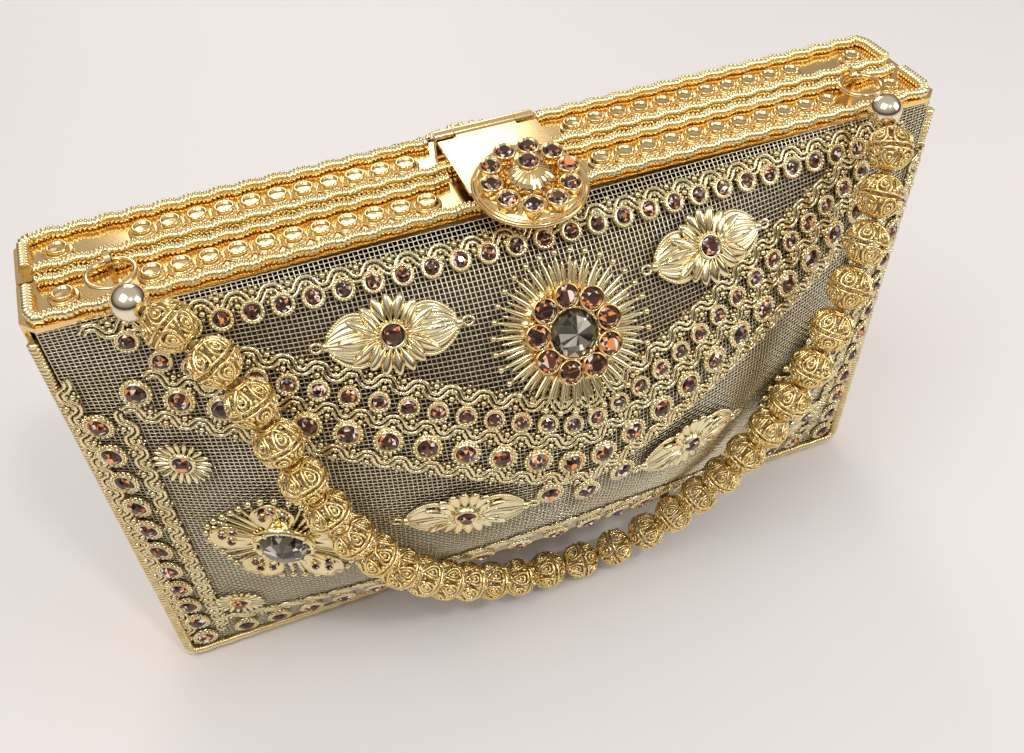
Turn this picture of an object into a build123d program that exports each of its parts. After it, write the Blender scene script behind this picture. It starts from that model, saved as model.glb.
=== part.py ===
"""Evening bag: a rigid clam-shell box clutch of gilt wire mesh with a beaded handle.

The bag stands on its narrow bottom. X runs along its length, -Y is the front, +Z is up,
and the origin is the centre of the footprint on the surface it stands on.
Two domed halves are hinged along the bottom, a flap clasp on the back half folds over
the front half, and a bead strand hangs from two lugs on the front rail.
"""
from build123d import *
import math
import os

os.makedirs("parts", exist_ok=True)

# ---------------------------------------------------------------- driving dimensions (mm)
LENGTH = 220.0            # along the top and the bottom
HEIGHT = 132.0            # to the upper face of the rails
TOP_HALF_DEPTH = 16.5     # one rail, from the parting plane to its outer edge
FOOT_HALF_DEPTH = 9.0     # one half at the bottom
BULGE = 36.0              # how far each mesh panel domes out of its rim
BULGE_FALL = 1.64         # exponent that flattens the dome along the length
BULGE_RISE = 0.75         # exponent that fills the dome towards top and bottom
BULGE_LIFT = 1.21         # exponent that carries the crown of the dome upwards
PART_GAP = 0.3            # each half stays this far from the parting plane
SHEET = 1.2               # rail and rim sheet metal
MESH_SKIN = 1.4           # woven panel with its frame wire
LINING_SKIN = 0.8
LINING_GAP = 0.9
CORD_R = 1.1              # gimp cord along the edges
HINGE_R = 2.0
HINGE_Z = 2.6
PIN_R = 1.0
PIN_FIT = 0.05
KNUCKLES = 5
HINGE_LENGTH = 204.0
KNUCKLE_GAP = 0.4
CLASP_HALF_WIDTH = 14.0   # the cords and rail discs stop either side of the clasp
CLASP_AXIS_Y = 13.2
CLASP_AXIS_Z = HEIGHT + 2.9
CLASP_DISC_R = 13.2
CLASP_DISC_Y = -17.5
CLASP_DISC_Z = HEIGHT + 4.4
CLASP_TILT = 10.0
LUG_X = 90.0
LUG_Y = -5.6
LUG_Z = HEIGHT + 4.4
RING_R = 5.0
RING_WIRE = 0.6
STRING_R = 0.6
BEAD_R = 5.55
BALL_R = 4.0
BEADS = 30
TRIM_LIFT = 0.15          # trim stands just clear of the panel it is fixed to

# ---------------------------------------------------------------- shape of a half


def rim_depth(z):
    """Distance of the rim's outer edge from the parting plane at height z."""
    return FOOT_HALF_DEPTH + (TOP_HALF_DEPTH - FOOT_HALF_DEPTH) * z / HEIGHT


def panel_y(x, z):
    """Y of the front panel's outer face at (x, z)."""
    along = min(abs(2 * x / LENGTH), 1.0)
    rise = min(max(z / HEIGHT, 0.0), 1.0)
    crown = max(math.sin(math.pi * rise**BULGE_LIFT), 0.0) ** BULGE_RISE
    return -rim_depth(z) - BULGE * (1 - along**BULGE_FALL) * crown


def panel_plane(x, z, lift=TRIM_LIFT):
    """Plane tangent to the front panel at (x, z), its normal pointing out of the bag."""
    step = 0.5
    slope_x = (panel_y(x + step, z) - panel_y(x - step, z)) / (2 * step)
    slope_z = (panel_y(x, z + step) - panel_y(x, z - step)) / (2 * step)
    normal = Vector(slope_x, -1, slope_z).normalized()
    origin = Vector(x, panel_y(x, z), z) + normal * lift
    return Plane(origin=origin, x_dir=Vector(1, slope_x, 0), z_dir=normal)


def row(points):
    """Tangent planes for a list of (x, z) places."""
    return [panel_plane(x, z) for x, z in points]


def keep(name, part, mirrored=False):
    """Label a finished piece and write it, turned to the back half if it is mirrored."""
    shape = part.mirror(Plane.XZ) if mirrored else part
    shape.label = name
    export_step(shape, f"parts/{name}.step")


# ---------------------------------------------------------------- trim layout on a panel
TOP_ROW_PITCH = 6.5
SWAG_PITCH = 6.3
LARGE_PITCH = 8.6
BORDER_PITCH = 9.6


def mirrored_row(step, count, height):
    """Places at x = 0, +-step ... with their heights from a formula of |x|."""
    places = [(0.0, height(0.0))]
    for i in range(1, count + 1):
        places += [(-i * step, height(i * step)), (i * step, height(i * step))]
    return places


def half_step_row(step, count, height):
    """Places at x = +-step/2, +-3/2 step ... with their heights from a formula of |x|."""
    places = []
    for i in range(count):
        x = (i + 0.5) * step
        places += [(-x, height(x)), (x, height(x))]
    return places


top_row = mirrored_row(TOP_ROW_PITCH, 14, lambda x: 127.0 - 1.6 * (x / 91) ** 2)
swag_small = half_step_row(SWAG_PITCH * 0.94, 15, lambda x: 90.5 + 32.0 * (x / 93) ** 1.1)
swag_large = half_step_row(LARGE_PITCH * 0.94, 12, lambda x: 79.0 + 36.5 * (x / 100))
wedge_row = mirrored_row(9.5, 1, lambda x: 68.0 + 0.3 * x)
side_row = []
for i in range(11):
    side_row += [(-103.3, 104.0 - BORDER_PITCH * i), (103.3, 104.0 - BORDER_PITCH * i)]
bottom_row = half_step_row(
    BORDER_PITCH, 10, lambda x: 9.0 + 34.0 * math.exp(-((x / 45.0) ** 2))
)
small_places = top_row + swag_small
large_places = swag_large + wedge_row + side_row + bottom_row

SMALL_SETTING_R = 2.6
SMALL_STONE_R = 1.8
LARGE_SETTING_R = 3.7
LARGE_STONE_R = 2.4
ROSETTE = (0.0, 111.0)
BUTTERFLIES = [(-38.0, 117.5), (38.0, 117.5), (-30.0, 69.0), (30.0, 69.0)]
BIG_ROSETTES = [(-72.5, 63.0), (72.5, 63.0)]
SUNBURSTS = [(-89.0, 92.0), (89.0, 92.0), (-90.0, 26.0), (90.0, 26.0)]

# ---------------------------------------------------------------- the two halves
LEVELS = [0.018, 0.05, 0.11, 0.2, 0.32, 0.46, 0.6, 0.73, 0.84, 0.92, 0.965, 0.988]
SPANS = [-1, -0.85, -0.65, -0.42, -0.2, 0, 0.2, 0.42, 0.65, 0.85, 1]
PANEL_HALF = LENGTH / 2 - 2.4


def domed_skin(inset, skin):
    """A domed panel lofted through level sections, its outer face inset from the dome."""
    with BuildPart() as panel:
        for level in LEVELS:
            z = level * HEIGHT
            outer = [(PANEL_HALF * s, panel_y(PANEL_HALF * s, z) + inset) for s in SPANS]
            inner = [(x, y + skin) for x, y in outer]
            with BuildSketch(Plane.XY.offset(z)):
                with BuildLine():
                    Spline(*outer)
                    Spline(*inner)
                    Line(outer[0], inner[0])
                    Line(outer[-1], inner[-1])
                make_face()
        loft(ruled=True)
    return panel.part


mesh_skin = domed_skin(0, MESH_SKIN)
lining_skin = domed_skin(MESH_SKIN + LINING_GAP, LINING_SKIN)

with BuildPart() as rail:
    with BuildSketch(Plane.XY.offset(HEIGHT - SHEET)):
        with Locations((0, -(TOP_HALF_DEPTH + PART_GAP) / 2)):
            Rectangle(LENGTH, TOP_HALF_DEPTH - PART_GAP)
    extrude(amount=SHEET)
    chamfer(rail.edges().filter_by(Axis.Z).group_by(Axis.Y)[0], 3)

HINGE_RELIEF = 3.2
with BuildPart() as side_bands:
    for x in (-LENGTH / 2, LENGTH / 2 - SHEET):
        with BuildSketch(Plane.YZ.offset(x)):
            with BuildLine():
                Polyline(
                    (-PART_GAP, HEIGHT - SHEET),
                    (-rim_depth(HEIGHT) + 3, HEIGHT - SHEET),
                    (-FOOT_HALF_DEPTH, 0),
                    (-HINGE_RELIEF, 0),
                    (-PART_GAP, HINGE_RELIEF),
                    close=True,
                )
            make_face()
        extrude(amount=SHEET)

with BuildPart() as foot_band:
    with BuildSketch(Plane.XY):
        with Locations((0, -(FOOT_HALF_DEPTH + HINGE_RELIEF) / 2)):
            Rectangle(LENGTH - 2 * SHEET, FOOT_HALF_DEPTH - HINGE_RELIEF)
    extrude(amount=SHEET)

SEAM_CORD_Y = -1.9
EDGE_CORD_Y = -15.0
CORD_REACH = LENGTH / 2 - 5


def cord_run(y, z, spans):
    """Straight gimp cords along X, one for each (from, to) span."""
    with BuildPart() as run:
        for start, end in spans:
            with BuildSketch(Plane(origin=(start, y, z), x_dir=(0, 1, 0), z_dir=(1, 0, 0))):
                Circle(CORD_R)
            extrude(amount=end - start)
    return run.part


whole = [(-CORD_REACH, CORD_REACH)]
parted = [(-CORD_REACH, -CLASP_HALF_WIDTH), (CLASP_HALF_WIDTH, CORD_REACH)]
cord_z = HEIGHT + CORD_R + 0.05
front_seam_cord = cord_run(SEAM_CORD_Y, cord_z, parted)
front_edge_cord = cord_run(EDGE_CORD_Y, cord_z, whole)
back_seam_cord = cord_run(SEAM_CORD_Y, cord_z, whole)
back_edge_cord = cord_run(EDGE_CORD_Y, cord_z, parted)

with BuildPart() as border_cords:
    for x in (-LENGTH / 2 + CORD_R, LENGTH / 2 - CORD_R):
        lower = Vector(x, -rim_depth(2) - CORD_R - 0.2, 3.2)
        upper = Vector(x, -rim_depth(HEIGHT - 4) - CORD_R + 2.2, HEIGHT - 4)
        with BuildSketch(Plane(origin=lower, x_dir=(1, 0, 0), z_dir=upper - lower)):
            Circle(CORD_R)
        extrude(amount=(upper - lower).length)
    with BuildSketch(Plane(origin=(-CORD_REACH, -FOOT_HALF_DEPTH - CORD_R - 0.05, CORD_R + 0.1),
                           x_dir=(0, 1, 0), z_dir=(1, 0, 0))):
        Circle(CORD_R - 0.05)
    extrude(amount=2 * CORD_REACH)

RAIL_DISC_R = 2.4
RAIL_DISC_PITCH = 6.1
RAIL_DISC_Y = -8.4
rail_disc_x = [
    (i + 0.5) * RAIL_DISC_PITCH * side
    for i in range(17)
    for side in (-1, 1)
    if CLASP_HALF_WIDTH + RAIL_DISC_R < (i + 0.5) * RAIL_DISC_PITCH
]
rail_disc_x = [x for x in rail_disc_x if abs(abs(x) - LUG_X) > 5.5]
with BuildPart() as rail_discs:
    with BuildSketch(Plane.XY.offset(HEIGHT + 0.05)):
        with Locations(*[(x, RAIL_DISC_Y) for x in rail_disc_x]):
            Circle(RAIL_DISC_R)
    extrude(amount=0.7)

# ---------------------------------------------------------------- stones and settings


def cups(places, radius, height):
    """Round metal settings standing on the panel."""
    with BuildPart() as made:
        with BuildSketch(*row(places)):
            Circle(radius)
        extrude(amount=height)
    return made.part


def stones(places, radius, lift, height):
    """Faceted stones as truncated cones on top of their settings."""
    with BuildPart() as made:
        with BuildSketch(*[panel_plane(x, z, lift) for x, z in places]):
            Circle(radius)
        extrude(amount=height, taper=28)
    return made.part


small_settings = cups(small_places, SMALL_SETTING_R, 1.1)
small_stones = stones(small_places, SMALL_STONE_R, TRIM_LIFT + 1.15, 0.8)
large_settings = cups(large_places, LARGE_SETTING_R, 1.3)
large_stones = stones(large_places, LARGE_STONE_R, TRIM_LIFT + 1.35, 1.1)

ROSETTE_RAY_R = 18.5
ROSETTE_RING_R = 8.6
RAYS = 32
rosette_plane = panel_plane(*ROSETTE, 1.9)
with BuildPart() as rosette_rays:
    with BuildSketch(rosette_plane):
        Circle(5.2)
        with PolarLocations((5 + ROSETTE_RAY_R) / 2, RAYS):
            Rectangle(ROSETTE_RAY_R - 5, 0.8)
        with PolarLocations(ROSETTE_RAY_R, RAYS):
            Circle(0.75)
    extrude(amount=0.9)
with BuildPart() as rosette_stones:
    with BuildSketch(rosette_plane.offset(0.95)):
        with PolarLocations(ROSETTE_RING_R, 9, start_angle=90):
            Circle(2.8)
    extrude(amount=2.2, taper=20)
with BuildPart() as rosette_heart:
    with BuildSketch(rosette_plane.offset(0.95)):
        Circle(5.4)
    extrude(amount=4.2, taper=30)

butterfly_planes = row(BUTTERFLIES)
sun_planes = row(SUNBURSTS)
with BuildPart() as butterflies:
    with BuildSketch(*[plane.offset(1.4) for plane in butterfly_planes]):
        with Locations((-8, 0), (8, 0)):
            Ellipse(6.6, 5.2)
        Rectangle(6, 4)
        with Locations((0, 5), (0, -5)):
            Ellipse(2.4, 4.2)
        with Locations((-15.2, 0), (15.2, 0)):
            Circle(1.5)
    extrude(amount=0.8)

big_planes = [panel_plane(x, z, 2.0) for x, z in BIG_ROSETTES]
with BuildPart() as big_rosettes:
    with BuildSketch(*big_planes):
        Circle(7.6)
        with PolarLocations(12, 5, start_angle=90):
            Circle(4.6)
    extrude(amount=0.9)
with BuildPart() as big_rosette_stones:
    with BuildSketch(*[plane.offset(1.0) for plane in big_planes]):
        Circle(6.6)
    extrude(amount=4.4, taper=32)

with BuildPart() as sunbursts:
    with BuildSketch(*sun_planes):
        Circle(3.2)
        with PolarLocations(4.5, 20):
            Rectangle(3.4, 0.8)
    extrude(amount=1.0)
butterfly_seats = [plane.offset(2.3) for plane in butterfly_planes]
sunburst_seats = [plane.offset(1.05) for plane in sun_planes]
with BuildPart() as accent_stones:
    with BuildSketch(*butterfly_seats, *sunburst_seats):
        Circle(2.3)
    extrude(amount=1.4, taper=25)

# ---------------------------------------------------------------- both halves written out
for side, back in (("front", False), ("back", True)):
    keep(f"{side}_top_rail", rail.part, back)
    keep(f"{side}_side_bands", side_bands.part, back)
    keep(f"{side}_foot_band", foot_band.part, back)
    keep(f"{side}_mesh_panel", mesh_skin, back)
    keep(f"{side}_lining", lining_skin, back)
    keep(f"{side}_border_cords", border_cords.part, back)
    keep(f"{side}_rail_discs", rail_discs.part, back)
    keep(f"{side}_small_settings", small_settings, back)
    keep(f"{side}_small_stones", small_stones, back)
    keep(f"{side}_large_settings", large_settings, back)
    keep(f"{side}_large_stones", large_stones, back)
    keep(f"{side}_rosette_rays", rosette_rays.part, back)
    keep(f"{side}_rosette_stones", rosette_stones.part, back)
    keep(f"{side}_rosette_heart", rosette_heart.part, back)
    keep(f"{side}_butterflies", butterflies.part, back)
    keep(f"{side}_big_rosettes", big_rosettes.part, back)
    keep(f"{side}_big_rosette_stones", big_rosette_stones.part, back)
    keep(f"{side}_sunbursts", sunbursts.part, back)
    keep(f"{side}_accent_stones", accent_stones.part, back)
keep("front_seam_cord", front_seam_cord)
keep("front_edge_cord", front_edge_cord)
keep("back_seam_cord", back_seam_cord, True)
keep("back_edge_cord", back_edge_cord, True)

# ---------------------------------------------------------------- bottom hinge
KNUCKLE_STEP = HINGE_LENGTH / KNUCKLES


def hinge_knuckles(turns, side):
    """Barrel knuckles with their leaf, for the half that lies on one side of the axis."""
    with BuildPart() as barrel:
        for i in turns:
            start = -HINGE_LENGTH / 2 + i * KNUCKLE_STEP + KNUCKLE_GAP / 2
            width = KNUCKLE_STEP - KNUCKLE_GAP
            plane = Plane(origin=(start, 0, HINGE_Z), x_dir=(0, 1, 0), z_dir=(1, 0, 0))
            with BuildSketch(plane):
                Circle(HINGE_R)
                with Locations((side * (HINGE_RELIEF + 1.0) / 2, -HINGE_R + 0.6)):
                    Rectangle(HINGE_RELIEF - 1.0, 0.8)
                Circle(PIN_R + PIN_FIT, mode=Mode.SUBTRACT)
            extrude(amount=width)
    return barrel.part


keep("back_hinge_knuckles", hinge_knuckles(range(0, KNUCKLES, 2), 1))
keep("front_hinge_knuckles", hinge_knuckles(range(1, KNUCKLES, 2), -1))
with BuildPart() as hinge_pin:
    with BuildSketch(Plane(origin=(-HINGE_LENGTH / 2, 0, HINGE_Z), x_dir=(0, 1, 0), z_dir=(1, 0, 0))):
        Circle(PIN_R)
    extrude(amount=HINGE_LENGTH)
keep("hinge_pin", hinge_pin.part)

# ---------------------------------------------------------------- flap clasp
CLASP_BARREL_R = 1.6
CLASP_PIN_R = 0.7
CLASP_WIDTH = 25.0
STRAP_HALF = 7.6
STRAP_TOP = CLASP_AXIS_Z + 0.7
STRAP_T = 1.0


def clasp_barrel(spans, with_foot):
    """Barrel pieces along the clasp axis, with feet down to the rail for the fixed ones."""
    with BuildPart() as barrel:
        for start, end in spans:
            plane = Plane(origin=(start, CLASP_AXIS_Y, CLASP_AXIS_Z), x_dir=(0, 1, 0), z_dir=(1, 0, 0))
            with BuildSketch(plane):
                Circle(CLASP_BARREL_R)
                if with_foot:
                    with Locations((0, -(CLASP_AXIS_Z - HEIGHT) / 2)):
                        Rectangle(2.4, CLASP_AXIS_Z - HEIGHT - 0.05)
                Circle(CLASP_PIN_R + PIN_FIT, mode=Mode.SUBTRACT)
            extrude(amount=end - start)
    return barrel.part


keep("clasp_bracket", clasp_barrel([(-12.5, -STRAP_HALF - 0.4), (STRAP_HALF + 0.4, 12.5)], True))
with BuildPart() as clasp_pin:
    with BuildSketch(Plane(origin=(-12.5, CLASP_AXIS_Y, CLASP_AXIS_Z), x_dir=(0, 1, 0), z_dir=(1, 0, 0))):
        Circle(CLASP_PIN_R)
    extrude(amount=25)
keep("clasp_pin", clasp_pin.part)

with BuildPart() as clasp_strap:
    with BuildSketch(Plane(origin=(-STRAP_HALF, CLASP_AXIS_Y, CLASP_AXIS_Z), x_dir=(0, 1, 0), z_dir=(1, 0, 0))):
        Circle(CLASP_BARREL_R)
        with Locations((-3, 0.2)):
            Rectangle(6, STRAP_T)
        Circle(CLASP_PIN_R + PIN_FIT, mode=Mode.SUBTRACT)
    extrude(amount=2 * STRAP_HALF)
    with BuildSketch(Plane.XY.offset(CLASP_AXIS_Z + 0.2 - STRAP_T / 2)):
        with Locations((0, -1.4)):
            Rectangle(CLASP_WIDTH, 23)
    extrude(amount=STRAP_T)
keep("clasp_strap", clasp_strap.part)

disc_plane = Plane(origin=(0, CLASP_DISC_Y, CLASP_DISC_Z)).rotated((CLASP_TILT, 0, 0))
with BuildPart() as clasp_disc:
    with BuildSketch(disc_plane):
        Circle(CLASP_DISC_R)
    extrude(amount=1.2)
    fillet(clasp_disc.edges().group_by(SortBy.LENGTH)[-1], 0.4)
    with BuildSketch(Plane.XY.offset(CLASP_AXIS_Z + 0.25 + STRAP_T / 2)):
        with Locations((0, CLASP_DISC_Y + 8)):
            Circle(3)
    extrude(amount=2.4)
keep("clasp_disc", clasp_disc.part)
with BuildPart() as clasp_dome:
    with BuildSketch(disc_plane.offset(1.25)):
        Circle(5.4)
    extrude(amount=3.6, taper=35)
keep("clasp_dome", clasp_dome.part)
with BuildPart() as clasp_settings:
    with BuildSketch(disc_plane.offset(1.25)):
        with PolarLocations(9.3, 10):
            Circle(2.5)
    extrude(amount=1.5)
keep("clasp_settings", clasp_settings.part)
with BuildPart() as clasp_stones:
    with BuildSketch(disc_plane.offset(2.8)):
        with PolarLocations(9.3, 10):
            Circle(2.1)
    extrude(amount=1.1, taper=28)
keep("clasp_stones", clasp_stones.part)
MAGNET_Y = -8.4
with BuildPart() as clasp_magnet:
    with BuildSketch(Plane.XY.offset(HEIGHT + 1.2)):
        with Locations((0, MAGNET_Y)):
            Circle(4)
    extrude(amount=CLASP_AXIS_Z + 0.2 - STRAP_T / 2 - 0.05 - HEIGHT - 1.2)
keep("clasp_magnet", clasp_magnet.part)
with BuildPart() as clasp_keeper:
    with BuildSketch(Plane.XY.offset(HEIGHT + 0.05)):
        with Locations((0, MAGNET_Y)):
            Circle(4.4)
    extrude(amount=0.6)
keep("clasp_keeper", clasp_keeper.part)

# ---------------------------------------------------------------- lugs, rings and bead strand
with BuildPart() as lugs:
    for x in (-LUG_X, LUG_X):
        with BuildSketch(Plane.YZ.offset(x - 0.6)):
            with Locations((LUG_Y, HEIGHT + 2.4)):
                Rectangle(4.4, 4.7)
            with Locations((LUG_Y, LUG_Z)):
                Circle(2.2)
                Circle(1.3, mode=Mode.SUBTRACT)
        extrude(amount=1.2)
keep("handle_lugs", lugs.part)

with BuildPart() as handle_rings:
    for x in (-LUG_X, LUG_X):
        with BuildSketch(Plane.XZ.offset(-LUG_Y + RING_R)):
            with Locations((x + RING_R, LUG_Z)):
                Circle(RING_WIRE)
        revolve(axis=Axis((x, LUG_Y - RING_R, 0), (0, 0, 1)), revolution_arc=360)
keep("handle_rings", handle_rings.part)

# The strand's line, from the left ring over the panel to the floor and up to the right ring.
STRAND = [
    (-90.0, -16.3, 136.6),
    (-88.0, -21.5, 136.2),
    (-84.5, -28.5, 131.5),
    (-77.0, -35.5, 120.0),
    (-71.0, -41.0, 105.0),
    (-65.0, -45.0, 87.0),
    (-56.0, -45.5, 65.0),
    (-46.0, -42.5, 44.0),
    (-34.0, -36.0, 24.0),
    (-18.0, -30.5, 10.5),
    (-1.0, -27.5, 6.4),
    (16.0, -28.0, 6.6),
    (33.0, -32.0, 14.5),
    (47.0, -38.5, 31.0),
    (58.0, -44.0, 53.0),
    (67.0, -45.5, 77.0),
    (75.0, -42.0, 99.0),
    (82.0, -36.0, 117.0),
    (88.0, -28.5, 131.0),
    (89.5, -21.5, 136.2),
    (90.0, -16.3, 136.6),
]


def bend_radii(points):
    """The largest arc at each corner that leaves a tenth of the shorter run straight."""
    radii = []
    for before, here, after in zip(points, points[1:], points[2:]):
        into = Vector(*here) - Vector(*before)
        out = Vector(*after) - Vector(*here)
        turn = math.radians(into.get_angle(out))
        radii.append(0.45 * min(into.length, out.length) / math.tan(turn / 2))
    return radii


radii = bend_radii(STRAND)
print("strand bend radii", [round(r, 1) for r in radii])
with BuildPart() as handle_string:
    with BuildLine() as strand_line:
        FilletPolyline(*STRAND, radius=radii)
    line = strand_line.wire()
    with BuildSketch(Plane(origin=line @ 0, z_dir=line % 0)):
        Circle(STRING_R)
    sweep()
keep("handle_string", handle_string.part)
string_length = line.length
print("strand length", round(string_length, 1),
      "tube volume over section x length",
      round(handle_string.part.volume / (math.pi * STRING_R**2 * string_length), 4))

BALL_AT = 5.6
BEAD_PITCH = (string_length - 2 * BALL_AT - 2 * (BALL_R + BEAD_R)) / (BEADS - 1)
print("bead pitch", round(BEAD_PITCH, 2))
BORE_R = 1.5


def strung(radius, places):
    """Round beads bored along the string, at distances along it."""
    with BuildPart() as made:
        for distance in places:
            share = distance / string_length
            plane = Plane(origin=line @ share, z_dir=line % share)
            with BuildSketch(Plane(origin=plane.origin, x_dir=plane.z_dir, z_dir=plane.x_dir)):
                with BuildLine():
                    top = math.sqrt(radius**2 - BORE_R**2)
                    ThreePointArc((-top, BORE_R), (0, radius), (top, BORE_R))
                    Line((-top, BORE_R), (top, BORE_R))
                make_face()
            revolve(axis=Axis(plane.origin, plane.z_dir), revolution_arc=360)
    return made.part


bead_places = [BALL_AT + BALL_R + BEAD_R + BEAD_PITCH * i for i in range(BEADS)]
keep("handle_beads", strung(BEAD_R, bead_places))
keep("handle_balls", strung(BALL_R, [BALL_AT, string_length - BALL_AT]))
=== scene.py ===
"""Looks of a gilt wire-mesh evening bag with a beaded handle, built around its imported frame."""

import logging
import math
import random
from dataclasses import dataclass
from enum import Enum
from typing import Callable, Sequence

import bpy
import numpy as np
from mathutils import Matrix, Vector


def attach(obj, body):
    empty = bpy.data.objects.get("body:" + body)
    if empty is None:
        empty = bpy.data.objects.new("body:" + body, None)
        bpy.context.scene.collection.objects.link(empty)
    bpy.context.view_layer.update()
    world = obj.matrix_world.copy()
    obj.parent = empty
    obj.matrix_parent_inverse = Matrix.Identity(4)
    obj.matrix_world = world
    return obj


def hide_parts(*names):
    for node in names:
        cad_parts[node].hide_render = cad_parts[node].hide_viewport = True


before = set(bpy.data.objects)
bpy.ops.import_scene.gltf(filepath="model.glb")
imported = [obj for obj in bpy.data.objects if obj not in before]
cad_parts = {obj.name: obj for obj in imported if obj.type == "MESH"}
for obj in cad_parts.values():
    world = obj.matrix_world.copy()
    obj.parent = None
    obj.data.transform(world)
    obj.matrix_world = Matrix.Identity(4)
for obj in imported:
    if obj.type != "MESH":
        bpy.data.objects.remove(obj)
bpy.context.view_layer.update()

log = logging.getLogger("evening_bag")
MM = 0.001
TAU = 2 * math.pi
Array = np.ndarray


class Side(Enum):
    """The two halves of the bag, by the prefix of their CAD nodes."""

    FRONT = "front"
    BACK = "back"

    @property
    def body(self) -> str:
        """Name of the CAD body that carries this half."""
        return f"{self.value}_half"


# ---------------------------------------------------------------- node trees and shader groups


def set_inputs(node: bpy.types.Node, values: dict[str, object]) -> None:
    """Set the default values of a node's inputs by socket name.

    Args:
        node: The node whose inputs are set.
        values: Socket names with their values.
    """
    for name, value in values.items():
        node.inputs[name].default_value = value


def new_group(name: str, kind: str, inputs: Sequence[tuple], outputs: Sequence[tuple]):
    """Make an empty node group with named sockets.

    Args:
        name: Name of the group.
        kind: Tree type, such as "ShaderNodeTree".
        inputs: Pairs of socket name and socket type.
        outputs: Pairs of socket name and socket type.

    Returns:
        The tree with its input node and its output node.
    """
    tree = bpy.data.node_groups.new(name, kind)
    for label, socket in inputs:
        tree.interface.new_socket(label, in_out="INPUT", socket_type=socket)
    for label, socket in outputs:
        tree.interface.new_socket(label, in_out="OUTPUT", socket_type=socket)
    return tree, tree.nodes.new("NodeGroupInput"), tree.nodes.new("NodeGroupOutput")


def noise(tree: bpy.types.NodeTree, vector, scale, detail: float = 3.0):
    """Add a noise texture read at a vector, with a linked or a plain scale.

    Args:
        tree: Tree that gets the node.
        vector: Output socket with the coordinates.
        scale: A number, or the output socket that gives it.
        detail: Octaves of the noise.

    Returns:
        The noise factor's output socket.
    """
    node = tree.nodes.new("ShaderNodeTexNoise")
    node.inputs["Detail"].default_value = detail
    tree.links.new(vector, node.inputs["Vector"])
    if isinstance(scale, (int, float)):
        node.inputs["Scale"].default_value = scale
    else:
        tree.links.new(scale, node.inputs["Scale"])
    return node.outputs["Fac"]


def spread(tree: bpy.types.NodeTree, value, low, high, to_low, to_high):
    """Map a value from one range to another, clamped.

    Args:
        tree: Tree that gets the node.
        value: Output socket to map.
        low: Lower end of the source range.
        high: Upper end of the source range.
        to_low: Result at the lower end, a number or a socket.
        to_high: Result at the upper end, a number or a socket.

    Returns:
        The mapped value's output socket.
    """
    node = tree.nodes.new("ShaderNodeMapRange")
    tree.links.new(value, node.inputs["Value"])
    ends = {"From Min": low, "From Max": high, "To Min": to_low, "To Max": to_high}
    for name, end in ends.items():
        if isinstance(end, (int, float)):
            node.inputs[name].default_value = end
        else:
            tree.links.new(end, node.inputs[name])
    return node.outputs["Result"]


def blend_colors(tree: bpy.types.NodeTree, factor, first, second):
    """Mix two colours by a factor.

    Args:
        tree: Tree that gets the node.
        factor: Output socket with the factor.
        first: Colour at 0, a tuple or a socket.
        second: Colour at 1, a tuple or a socket.

    Returns:
        The mixed colour's output socket.
    """
    node = tree.nodes.new("ShaderNodeMix")
    node.data_type = "RGBA"
    tree.links.new(factor, node.inputs["Factor"])
    for name, color in (("A", first), ("B", second)):
        socket = next(s for s in node.inputs if s.name == name and s.type == "RGBA")
        if isinstance(color, tuple):
            socket.default_value = (*color, 1.0)
        else:
            tree.links.new(color, socket)
    return next(s for s in node.outputs if s.type == "RGBA")


def patina_group() -> bpy.types.NodeTree:
    """Build the shared group for the colour drift, wear and fine scratches of gilding.

    Returns:
        A group that puts out a colour, a roughness and a height.
    """
    tree, entry, end = new_group(
        "gilding_patina",
        "ShaderNodeTree",
        [("Color", "NodeSocketColor"), ("Deep Color", "NodeSocketColor"),
         ("Roughness", "NodeSocketFloat"), ("Scale", "NodeSocketFloat")],
        [("Color", "NodeSocketColor"), ("Roughness", "NodeSocketFloat"), ("Height", "NodeSocketFloat")],
    )
    place = tree.nodes.new("ShaderNodeTexCoord").outputs["Object"]
    cloud = noise(tree, place, entry.outputs["Scale"], 4.0)
    grain = noise(tree, place, 2600.0, 2.0)
    mask = spread(tree, cloud, 0.42, 0.68, 0.0, 0.55)
    color = blend_colors(tree, mask, entry.outputs["Color"], entry.outputs["Deep Color"])
    tree.links.new(color, end.inputs["Color"])
    lift = tree.nodes.new("ShaderNodeMath")
    lift.operation = "MULTIPLY_ADD"
    tree.links.new(spread(tree, cloud, 0.35, 0.75, 0.0, 1.0), lift.inputs[0])
    lift.inputs[1].default_value = 0.09
    tree.links.new(entry.outputs["Roughness"], lift.inputs[2])
    tree.links.new(lift.outputs[0], end.inputs["Roughness"])
    tree.links.new(grain, end.inputs["Height"])
    return tree


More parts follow.
